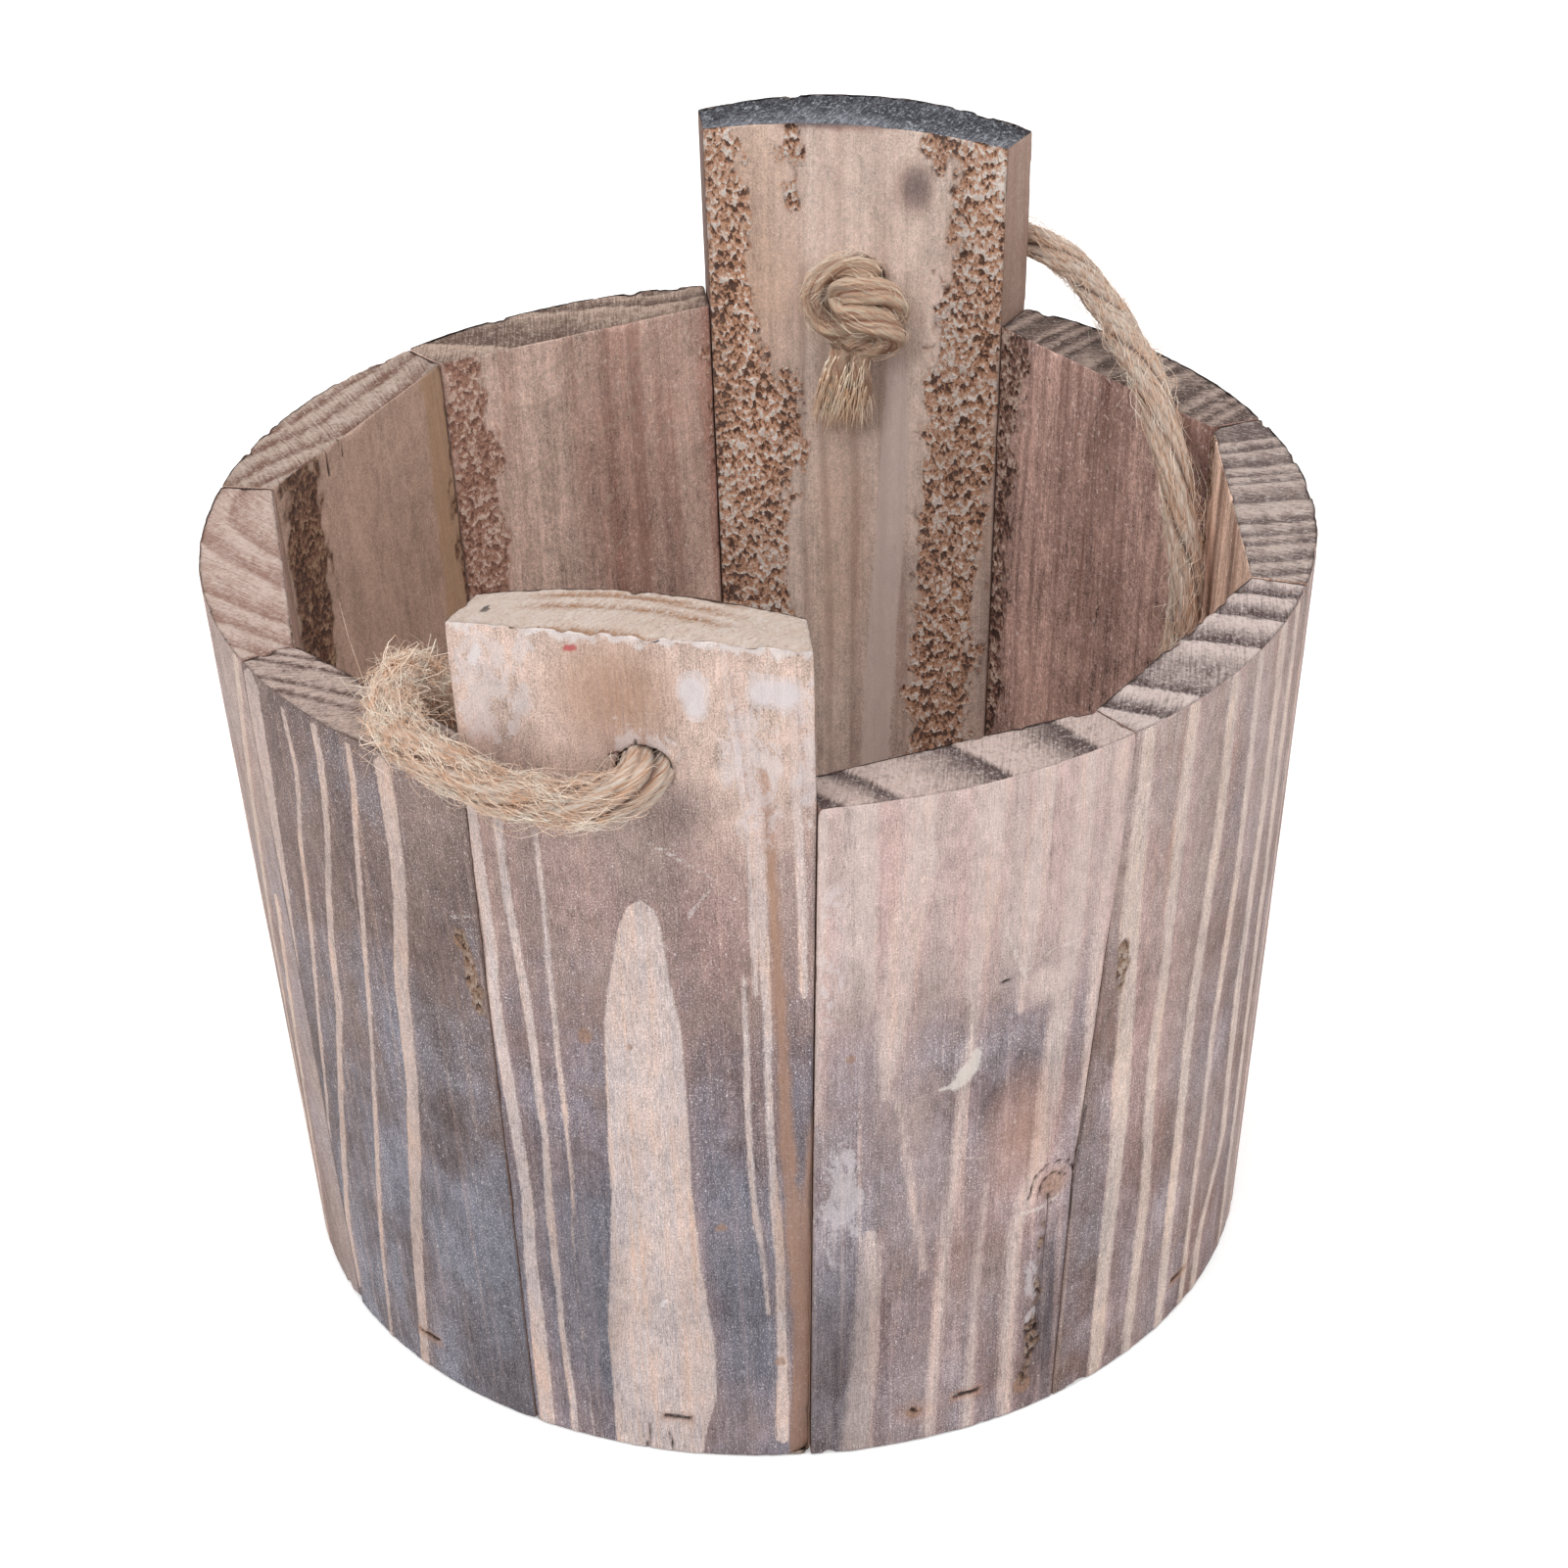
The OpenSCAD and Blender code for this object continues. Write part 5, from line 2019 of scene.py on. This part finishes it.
TAUPE = FirFinish(
    rubbed=0.1, calm=0.65, inner=(0.765, 0.65, 0.585), inner_dark=(0.68, 0.56, 0.5),
    end_light=(0.8, 0.71, 0.655), end_dark=(0.53, 0.385, 0.325), raw=(0.72, 0.585, 0.455),
    torn_tan=(0.46, 0.315, 0.25), torn_pit_shadow=(0.28, 0.175, 0.14), torn_pale=(0.59, 0.43, 0.345),
    torn_lip_highlight=(0.72, 0.58, 0.47), end_pale=(0.9, 0.82, 0.78))
BACK_EAR = FirFinish(
    rubbed=0.32, calm=0.62, raw=(0.56, 0.43, 0.36), inner=(0.9, 0.815, 0.765), inner_dark=(0.64, 0.53, 0.49),
    end_light=(0.51, 0.515, 0.55), end_dark=(0.24, 0.24, 0.27), end_pale=(0.84, 0.86, 0.89),
    torn_tan=(0.78, 0.56, 0.43), torn_pit_shadow=(0.31, 0.185, 0.135), torn_pale=(0.89, 0.7, 0.585),
    torn_lip_highlight=(1, 0.95, 0.915), rose=(0.78, 0.62, 0.51), inner_pale=(0.83, 0.76, 0.73))

FRONT_EAR_MARKS = BoardMarks(
    lines=bands(
        ((146.7, -29.5, 1), (130.9, -29, 1.3), (113, -27.9, 1.3), (106.8, -28.7, 1.3), (78.6, -27, 1.3),
         (56.5, -25.9, 1.3), (40.9, -26.6, 1.4), (25.2, -26.3, 1.5), (0, -26.2, 1.6)),
        ((145.1, -24.6, 1.05), (135.2, -24.2, 1), (126.4, -24, 1), (114.6, -23, 0.95),
         (108.8, -22.3, 0.9), (94.9, -21.6, 0.9), (73.2, -21.1, 0.75), (58, -21.7, 0.8), (42.8, -21.4, 0.8),
         (27.1, -21.3, 0.75), (11.3, -20.6, 0.75), (0, -20.4, 0.75)),
        ((142.7, -17.4, 0.5), (134, -17.2, 0.55), (122.1, -17, 0.6), (113, -17.1, 0.6), (96.1, -17, 0.55),
         (81.8, -16.6, 0.45), (63.4, -16.5, 0.3), (47.9, -17.4, 0.2), (32.4, -17.2, 0.2),
         (16.5, -17.1, 0.25), (0.5, -16.4, 0.3)),
        ((128.8, 0.1, 2), (127.3, 0.2, 3), (123, -0.4, 4), (116, -0.65, 4.95), (109, -1.05, 5.95),
         (102.5, -0.8, 6.9), (86, -1.15, 7.35), (64, -1.55, 7.65), (49.5, -1.85, 8.35), (30, -2.05, 10.05),
         (16, -2.05, 10.15), (2, -3.8, 8.4), (0, -3.8, 8.2)),
        ((114.3, 17, 0.5), (96.9, 16.9, 0.6), (86.3, 16.6, 0.6), (68.1, 16.6, 0.6), (53.2, 17.4, 0.5),
         (35.6, 18.2, 0.4)),
        ((150, 20.9, 1.1), (128, 20.8, 1), (104, 20.7, 0.8), (79, 20.2, 0.7), (64.4, 20.2, 0.8),
         (49.4, 20.7, 0.9), (34, 20.4, 0.9), (4, 19.4, 1.1)),
        ((182.5, 16.7, 0.6), (160.5, 18.3, 0.8), (143.5, 19.4, 0.8), (126, 19.1, 0.7), (110.4, 18.9, 0.5)),
        ((171, 27.6, 0.8), (140, 27.4, 0.9), (110, 27, 0.7))),
    char=((0, 1), (40, 1.15), (90, 0.94), (112, 0.82), (130, 0.84), (139, 0.74), (147, 0.46), (157, 0.16),
          (166, 0), (185, -0.2)),
    wash=((0, 0.85), (24, 1), (60, 0.8), (90, 0.4), (110, 0.05), (150, -0.4)),
    raw=bands(
        ((158, 22.4, 0.5), (140, 22.8, 0.8), (118, 23, 0.9), (96, 23.2, 1), (79, 23.1, 1.2),
         (64, 23.4, 1.3), (34, 23.9, 1.6), (0, 24.4, 2))),
    scars=scratches(
        (0.3, (4, 141.9), (13.5, 135.4)), (0.25, (2.2, 142.9), (13.5, 135.4)),
        (0.2, (13.5, 135.4), (8.4, 127.6)), (0.5, (-1.4, 37), (-0.6, 38.2)),
        (0.8, (-25.5, 178), (-26.6, 175)), (0.18, (-2, 168), (2.5, 166))),
    cracks=scratches(
        (0.22, (1.4, 163.6), (0.4, 161.6), (-3.2, 160.4)), (0.12, (-5.4, 6.5), (-5.9, 0)),
        (0.14, (-1.6, 5), (-1.2, 0)), (0.1, (-7, 3.5), (-6.2, 0))),
    spots=spots(
        (-11.9, 98.7, 1.6, 2.2), (10.6, 57.1, 1.2, 1.2), (19.9, 24.3, 1.3, 1.3), (-3.7, 97.4, 0.8, 0.8)),
    burns=spots(
        (-24, 60, 12, 60, 0.3), (-14, 40, 8, 40, 0.3), (14, 44, 11, 36, 0.3), (16, 138, 9, 20, -0.35),
        (25, 140, 7, 24, -0.15), (26, 60, 7, 44, 0.35), (-20, 162, 10, 12, 0.3), (8, 150, 10, 7, 0.35),
        (16, 112, 9, 16, -0.2)), stains=spots((-2, 173, 13, 14, 1), (12, 8, 9, 14, 0.25)),
    smears=spots(
        (11.4, 174.2, 3, 4.2, 2.2), (11.8, 171.4, 2.8, 3.6, 2), (23.2, 174, 3.6, 3.6, 2.2),
        (26.2, 173.4, 3.8, 3.8, 2.2), (30, 160, 3, 22, 0.55), (-25, 170, 7, 20, 0.62),
        (-17, 174, 3, 14, 0.5), (3, 162, 7, 5, 0.6), (21, 162, 7, 26, 0.5)),
    roses=spots((14, 128, 9, 22, 0.5), (-10, 130, 8, 18, 0.4)),
    inner_torn=bands(((170, 24, 4), (120, 23, 3), (60, 22, 3), (0, 22, 2))),
    inner_lines=bands(((185, -12, 1.5), (90, -13, 2), (0, -12, 1)), ((185, 6, 1), (90, 8, 1.2), (0, 7, 1))),
    end_spots=spots((-25, 4.6, 1, 1.6)), band_turn=88, band_gap=3.6, band_bias=0.55, band_edge=0.3,
    band_far=200, band_reach=17, flecks=scratches((0.42, (-9.4, 180.9), (-7.7, 181.6))))

RIGHT_1_MARKS = BoardMarks(
    lines=bands(
        ((149.9, -30.2, 2.5), (111.7, -30.2, 2), (81.4, -29.7, 0.8)),
        ((149, -12.1, 3), (133, -12.1, 3), (114.5, -15.3, 3), (97.9, -16.7, 2.5), (85, -17.5, 0.5)),
        ((122.5, -22.6, 0.3), (104.2, -18.5, 0.4), (87.9, -17.4, 0.4), (84.4, -15, 0.4), (63, -12.2, 0.4),
         (42.9, -9.1, 0.4)), ((53.7, -19.4, 1.4), (39.6, -19.7, 2.2), (6, -21.1, 2.6), (0, -21.1, 2.6)),
        ((108, -0.2, 1), (82.4, -2.4, 1), (49.4, -5, 1), (15.6, -7, 1.1), (0, -7.5, 1.1)),
        ((149, 20, 2), (106.8, 17.9, 2.4), (85.5, 15.6, 2.2), (65.3, 14.1, 2), (44.9, 8.7, 1.6),
         (7.2, 8, 1.5), (0, 8, 1.4)),
        ((149, 27, 1.6), (104.2, 24, 1.4), (66.8, 22.8, 1.4), (50.7, 23, 1), (0, 23, 1)),
        ((60, 2.5, 0.5), (30, 1, 0.8), (0, 0, 1.2)), ((150, -22, 2.6), (128, -21.5, 2.2), (106, -20, 0.6)),
        ((150, 1, 3.4), (124, 0.2, 3), (103, -1.6, 0.8)),
        ((150, 11.5, 2), (122, 10, 2.2), (98, 8, 0.6))),
    char=((0, 0.95), (30, 0.9), (60, 0.8), (85, 0.78), (106, 0.52), (120, 0.3), (150, 0.22)),
    wash=((0, 0.35), (50, 0.5), (90, 0.5), (120, 0.3), (150, -0.1)),
    scars=scratches(
        (1.15, (-0.8, 91.2), (-1, 88.8), (-2.6, 86.4), (-4.6, 85.1)), (1.7, (-1.6, 88.4), (-2.8, 86.9)),
        (0.45, (-4.6, 85.1), (-7.4, 84.8)), (0.2, (4, 118), (9, 104)), (0.18, (-8, 70), (2, 66)),
        (0.4, (10, 50), (14, 49.6), (18, 51)), (0.22, (9, 107), (14, 109.5), (20, 110))),
    roses=spots(
        (-17, 134, 3.5, 34, 0.55), (-4, 132, 4.5, 34, 0.5), (16, 130, 4.5, 30, 0.5), (25, 120, 3, 34, 0.4),
        (12, 60, 14, 26, 0.5)), saw_turn=56,
    cracks=scratches(
        (0.35, (-10.9, 8.2), (-10.3, 7.4)), (0.2, (3.6, 105.4), (6.6, 106.2)),
        (0.16, (15.9, 52), (15.2, 36), (14.4, 20)),
        (0.2, (11.5, 53), (12.6, 57.6), (16, 59.8), (20, 58.6), (21.6, 55)),
        (0.2, (13.6, 52.6), (14.4, 55.8), (16.8, 57), (19.2, 55.4))),
    spots=spots(
        (16.7, 54.6, 4.2, 4.6, 0.5), (-23.6, 95, 1.1, 1.1), (11.9, 6.5, 2.4, 2.6), (-10.5, 7.5, 2, 1.6)),
    burns=spots(
        (-22, 60, 10, 40, 0.3), (3, 88, 15, 20, 0.4), (12, 102, 7, 5, -0.5), (20, 80, 10, 26, 0.25),
        (-26, 20, 12, 40, 0.8), (17, 24, 3.4, 22, 0.6)),
    torn=bands(((52, 15.4, -0.4), (40, 14.6, 0.5), (22, 13.6, 0.4), (6, 12.6, 0))),
    stains=spots((-10.5, 7.5, 5, 4, 0.4), (9, 70, 9, 18, 0.5), (17, 55, 6, 5, 0.3)),
    smears=spots((-25, 62, 5, 18, 0.6), (13, 30, 3, 14, 0.4), (-27, 118, 3, 22, 0.35)), band_turn=25,
    band_gap=13.5, band_bias=0.3, band_edge=0.06, closed=(999, 112))

RIGHT_2_MARKS = BoardMarks(
    lines=bands(
        ((149, -16.5, 1.6), (118.3, -16.9, 1.6), (84.3, -17.3, 1.5), (75.7, -18.4, 1.5), (36.8, -15.9, 1.4),
         (10.8, -16.2, 1.4), (0, -16.2, 1.4)),
        ((149, -4, 1.8), (116.8, -4.4, 1.7), (77.7, -7, 1.6), (52.7, -6.6, 1.6), (9, -5.9, 1.4),
         (0, -5.9, 1.4)),
        ((149, 5.5, 1.2), (101.6, 5.7, 1.2), (67.9, 2.9, 1.1), (36.2, 2.9, 1), (14.8, 2.4, 1), (0, 2.4, 1)),
        ((149, 16, 2), (105.6, 15.9, 1.8), (71.8, 13.5, 1.7), (33.6, 15.3, 1.5), (13.2, 8, 1.3),
         (0, 8, 1.3)), ((149, -28, 1.6), (109.1, -27.9, 2.2), (63, -25.5, 2), (0, -25, 1.5)),
        ((149, 24, 1.6), (75, 24, 1.7), (0, 23, 1.4))), char=((0, 0.9), (60, 0.85), (120, 0.66), (150, 0.6)),
    wash=((0, 0.25), (75, 0.25), (150, 0.05)), burns=spots((-26, 30, 14, 50, 0.25)),
    torn=bands(((104, -29, -0.4), (98, -28.6, 0.3), (90, -28.2, -0.4))),
    cracks=scratches((0.1, (-34, 70), (-35.2, 50), (-35.8, 30), (-36.4, 4))),
    roses=spots((-20, 75, 12, 60, 0.4)), saw_turn=22, band_turn=196, band_gap=12, band_bias=0.2,
    band_edge=0.07, closed=(112, 999))

LEFT_1_MARKS = BoardMarks(
    lines=bands(
        ((147.3, -14.6, 0.7), (133.8, -13.1, 0.75), (116.3, -16.8, 0.75), (95.5, -18.8, 0.75),
         (74.3, -22, 0.75), (53.2, -25.4, 0.75), (33.4, -29.4, 0.75)),
        ((148.3, -4.7, 1), (141, -4, 1.1), (127, -5.5, 1.1), (112, -8.6, 1.1), (96.5, -11.4, 1.1),
         (81.4, -12.6, 1.1), (64, -16.9, 1.1), (41.9, -21.5, 1.1), (21.4, -26.1, 1.1), (4.8, -26.1, 1)),
        ((148.3, 4.7, 0.7), (141.2, 4.7, 0.7), (125.7, 2.6, 0.7), (108.6, 0.7, 0.7), (92.2, -1.2, 0.7),
         (75.1, -3.6, 0.7), (58.5, -6.4, 0.7), (41.2, -9.2, 0.7), (23.8, -11.6, 0.7), (7.5, -13.3, 0.7),
         (0, -14, 0.7)),
        ((147.4, 12.6, 1.8), (138.3, 12.9, 1.8), (124.3, 12.6, 1.8), (109.2, 10.8, 1.8), (98.6, 8.8, 1.8),
         (85.9, 7.9, 1.8), (72.8, 7, 1.7), (58.8, 4.7, 1.7), (44.5, 2.6, 1.6), (29.9, 0.6, 1.5),
         (15.3, -0.8, 1.4), (0, -2.7, 1.3)), ((148, -26, 3), (100, -29, 3), (60, -33, 2.5))),
    char=((0, 1.05), (60, 1.1), (100, 0.95), (120, 0.92), (150, 0.88)),
    wash=((0, 0.75), (50, 0.65), (80, 0.25), (110, 0.05), (150, -0.2)),
    scars=scratches((0.2, (13, 86), (19, 78)), (0.15, (22, 118), (28, 120)), (0.15, (16, 30), (27, 25))),
    spots=spots((24.5, 113.5, 1.8, 2.2)),
    torn=bands(((116, 25.2, 0.2), (111, 25.6, 1.1), (105, 25.9, 0.8), (97, 26.1, 0))),
    raw=bands(((113, 25.5, 0), (107, 25.8, 1.3), (101, 26.1, 0))),
    burns=spots((24, 20, 16, 50, 0.3), (22, 140, 8, 16, -0.35)), band_turn=99, band_gap=3.6, band_bias=0.5,
    band_edge=0.18, band_far=60)

LEFT_2_MARKS = BoardMarks(
    lines=(
        *bands(
            ((149, 31.6, 1.4), (119, 24.7, 1.5), (81.7, 16.8, 1.5), (0, 6, 1)),
            ((94.5, 27.6, 1.2), (44.1, 17.6, 1.3), (0, 10, 1))),
        *steady_lines(82, -34, 14, 8.5, 1.2, 150)), char=((0, 0.8), (75, 0.7), (150, 0.6)),
    wash=((0, 0.3), (75, 0.3), (150, 0.1)), inner_torn=bands(((150, 26, 3), (90, 25, 2), (0, 26, 2))),
    saw_turn=30, band_turn=-64, band_gap=6.6, band_bias=0.2, band_edge=0.15, band_far=64)

LEFT_3_MARKS = BoardMarks(
    lines=steady_lines(83, -32, 32, 7.5, 1.2, 150), char=((0, 0.75), (75, 0.65), (150, 0.6)),
    wash=((0, 0.3), (150, 0.2)),
    inner_torn=bands(
        ((150, 21.5, 5.3), (125, 23.2, 5.3), (104, 21.5, 2.3), (60, 22, 2), (0, 22, 1)),
        ((150, -31.5, 1.6), (123, -31, 1.8), (102, -30, 1.5), (50, -29, 1), (0, -29, 1))),
    inner_cracks=scratches((0.25, (7, 150), (6.5, 145.5)), (0.3, (12, 150), (11.5, 144))),
    inner_raw=bands(((150, -27.3, 4.4), (123, -26.3, 4.5), (102, -25, 4.3), (50, -25, 3), (0, -25, 2))),
    band_turn=85, band_gap=4.4, band_bias=0.4, band_edge=0.2, notches=((-14, 0.9),))

LEFT_4_MARKS = BoardMarks(
    lines=steady_lines(84, -32, 32, 6.5, 1.1, 150), char=((0, 0.8), (75, 0.75), (150, 0.7)),
    wash=((0, 0.3), (150, 0.3)),
    inner_torn=bands(
        ((150, 24.6, 3.4), (120, 24.4, 4.2), (98, 24.2, 4.6), (50, 23, 4), (0, 22, 3)),
        ((150, -31.5, 1.2), (100, -31, 1.4), (50, -30.5, 1))),
    inner_lines=bands(
        ((150, -12.2, 1.4), (100, -11.5, 1.6), (40, -11, 1.5)), ((150, -4.6, 0.3), (60, -4, 0.3))),
    inner_roses=spots((-8, 110, 12, 70, 0.6), (-30, 118, 4, 50, 1), (28, 110, 8, 60, 0.6)),
    inner_burns_and_light=spots(
        (-6, 105, 10, 70, 0.22), (11, 118, 9, 60, -0.4), (-19, 112, 7, 60, 0.3), (-31, 112, 3.5, 60, 0.5),
        (-6.5, 110, 2.2, 80, 0.5), (4.5, 110, 1.6, 80, 0.4), (-17, 110, 2, 80, 0.4),
        (26, 110, 9, 70, -0.2)),
    inner_pale=tuple(Scratch(path, 0.42) for path in (
        ((2, 120), (9, 112)), ((-8, 104), (-3, 98)), ((16, 137), (9, 136), (3, 138), (-6, 140)),
        ((14, 121), (8, 124), (2, 128)), ((-6, 134), (-16, 139)), ((-3, 127), (-12, 131)),
        ((-24, 140), (-30, 141.5)), ((-27, 131), (-31, 132)), ((8, 143), (1, 145)), ((11, 104), (5, 99)),
        ((-10, 142), (-19, 145)), ((17, 131), (12, 128)), ((-14, 122), (-20, 126)), ((-20, 112), (-26, 115)),
        ((5, 134), (-2, 137)), ((12, 115), (7, 112)), ((-2, 110), (-7, 114)))), saw_turn=60,
    band_turn=72, band_gap=9, band_bias=0.1, band_edge=0.1, band_far=70)

BACK_EAR_MARKS = BoardMarks(
    lines=steady_lines(85, -32, 32, 6, 1.1, 191), char=((0, 0.85), (100, 0.8), (191, 0.75)),
    wash=((0, 0.3), (120, 0.4), (191, 0.6)),
    inner_torn=bands(
        ((188, 28.5, 5), (165, 28.5, 5), (150, 28, 6), (131, 25, 8.5), (110, 24, 9.5), (86, 24, 9.5),
         (40, 24, 8), (0, 24, 5)),
        ((188, -26.5, 5.5), (165, -26, 6), (135, -23.2, 7), (90, -19.5, 6.2), (57, -18.1, 5.9),
         (20, -18, 5), (0, -18, 4)), ((140, 15, 0.3), (128, 14, 2.6), (114, 14, 2.4), (106, 15, 0.3)),
        ((189, 13, 1.2), (181, 13, 1.4), (172, 13, 0.2)), ((189, -18, 3), (182, -19, 0.5))),
    inner_roses=spots((22, 158, 13, 50, 0.75), (-27, 150, 9, 60, 0.45), (4, 100, 9, 40, 0.35)),
    inner_lines=steady_lines(95, -13, 14, 5.5, 0.7, 160),
    inner_pale=bands(((150, -8.8, 1.5), (122, -8.8, 3.1), (90, -6.7, 3.2), (56, -4.6, 3.2), (0, -3, 3))),
    inner_burns_and_light=spots(
        (-12.4, 178.5, 5, 7.6, 1.25), (35, 168, 2.2, 60, 2.6), (10, 191.5, 30, 2.4, 1.6),
        (22, 140, 12, 60, -0.5), (-23, 120, 8, 70, 0.25), (-34, 165, 1.8, 24, 1.6)), edge_char=(0.9, 2),
    edge_raw=0.9, band_turn=86, band_gap=26, band_bias=0.5, band_edge=0.5, saw_turn=68)

RIGHT_4_MARKS = BoardMarks(
    lines=steady_lines(86, -32, 32, 6.2, 1.1, 150), char=((0, 0.85), (150, 0.8)),
    wash=((0, 0.3), (150, 0.35)),
    inner_torn=bands(((150, 26.2, 3.6), (114, 28.5, 3), (60, 28, 2), (0, 28, 2))),
    inner_lines=(
        *bands(
            ((146, 12, 0.4), (88, 14.3, 0.4)), ((146, 1.8, 0.35), (93, 2.7, 0.35)),
            ((131, -5.3, 0.35), (94, -6, 0.35))), *steady_lines(96, -30, 24, 7, 0.5, 150)),
    # The broad negative spot low on the inner face is painted light, against the shade deep in the barrel.
    inner_burns_and_light=spots((-2, 72, 32, 34, -0.4)), saw_turn=38, band_turn=6, band_gap=5.2, band_bias=0.12,
    band_edge=0.3)

RIGHT_3_MARKS = BoardMarks(
    lines=steady_lines(87, -32, 32, 7, 1.3, 150), char=((0, 0.7), (150, 0.65)),
    wash=((0, 0.3), (150, 0.2)),
    inner_torn=bands(((150, 28.5, 3.5), (100, 28.5, 4), (40, 28, 3), (0, 28, 3))),
    inner_lines=bands(
        ((150, 11, 2.4), (60, 11, 2), (0, 11, 2)), ((150, -8, 1.5), (60, -8, 1)),
        ((120, -16, 0.8), (40, -15, 0.8))),
    inner_burns_and_light=spots(
        (11, 130, 4, 60, 0.9), (20, 120, 5, 60, -0.5), (2, 125, 5, 60, -0.6), (-9, 138, 6, 20, 1),
        (-18, 110, 4, 60, -0.3)), saw_turn=62, band_turn=190, band_gap=5.4, band_bias=0.25,
    band_edge=0.25)

BOARDS: tuple[Board, ...] = (
    Board("front_ear_board", "front_ear_stave", 0, FRONT_EAR_MARKS, EAR_FINISH, ear_up=BARREL.front_ear_up,
          hole_off=BARREL.front_hole_off, wane=True, burr=1.2),
    Board("right_board_1", "right_stave_1", 1, RIGHT_1_MARKS, ROSY, across=0.6, along=0.8),
    Board("right_board_2", "right_stave_2", 2, RIGHT_2_MARKS, STRIPED),
    Board("right_board_3", "right_stave_3", 3, RIGHT_3_MARKS, BROWNED),
    Board("right_board_4", "right_stave_4", 4, RIGHT_4_MARKS, GREYED, Slot.BURNT),
    Board("back_ear_board", "back_ear_stave", 5, BACK_EAR_MARKS, BACK_EAR, ear_up=BARREL.back_ear_up,
          hole_off=BARREL.back_hole_off, burr=0.25, end_rough=0.55),
    Board("left_board_4", "left_stave_4", 6, LEFT_4_MARKS, RUSSET, Slot.BURNT, across=0.6, along=0.7),
    Board("left_board_3", "left_stave_3", 7, LEFT_3_MARKS, TAUPE),
    Board("left_board_2", "left_stave_2", 8, LEFT_2_MARKS, WARM),
    Board("left_board_1", "left_stave_1", 9, LEFT_1_MARKS, DARK, Slot.BURNT),
)


@dataclass
class Body:
    """The ten staves, the floor boards under them and the staples."""

    boards: tuple[Board, ...] = BOARDS

    def build(self) -> list[bpy.types.Object]:
        """Build and dress the staves, and dress the floor boards and staples.

        Returns:
            The staves.
        """
        staves = []
        for board in self.boards:
            stave = board.build()
            finish = BoardFinish(board.finish, board.marks.saw_turn)
            stave.data.materials.append(finish.make(board.name + "_fir"))
            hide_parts(board.node)
            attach(stave, "root")
            staves.append(stave)
        for k, word in enumerate(("left", "middle", "right")):
            self.dress(f"floor_board_{word}", PlainFirFinish().make(f"planed_fir_{word}", 0.21 * k))
        self.dress("staples", WireFinish().make("galvanised_wire"))
        return staves

    def dress(self, node: str, material: bpy.types.Material) -> None:
        """Give a CAD node its material in every slot.

        Args:
            node: The CAD node's name.
            material: The material.
        """
        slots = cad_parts[node].material_slots
        for each in slots:
            each.material = material
        if not slots:
            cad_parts[node].data.materials.append(material)


def main() -> None:
    """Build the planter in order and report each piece."""
    logging.basicConfig(level=logging.INFO, format="%(message)s")
    bpy.context.scene.view_settings.view_transform = "Standard"
    PhotoCamera().build()
    pieces = RopeHandle().build()
    pieces += Body().build()
    Studio().build()
    for piece in pieces:
        log.info("%s: %d faces", piece.name, len(piece.data.polygons))
    bpy.context.view_layer.update()


if __name__ == "__main__":
    main()
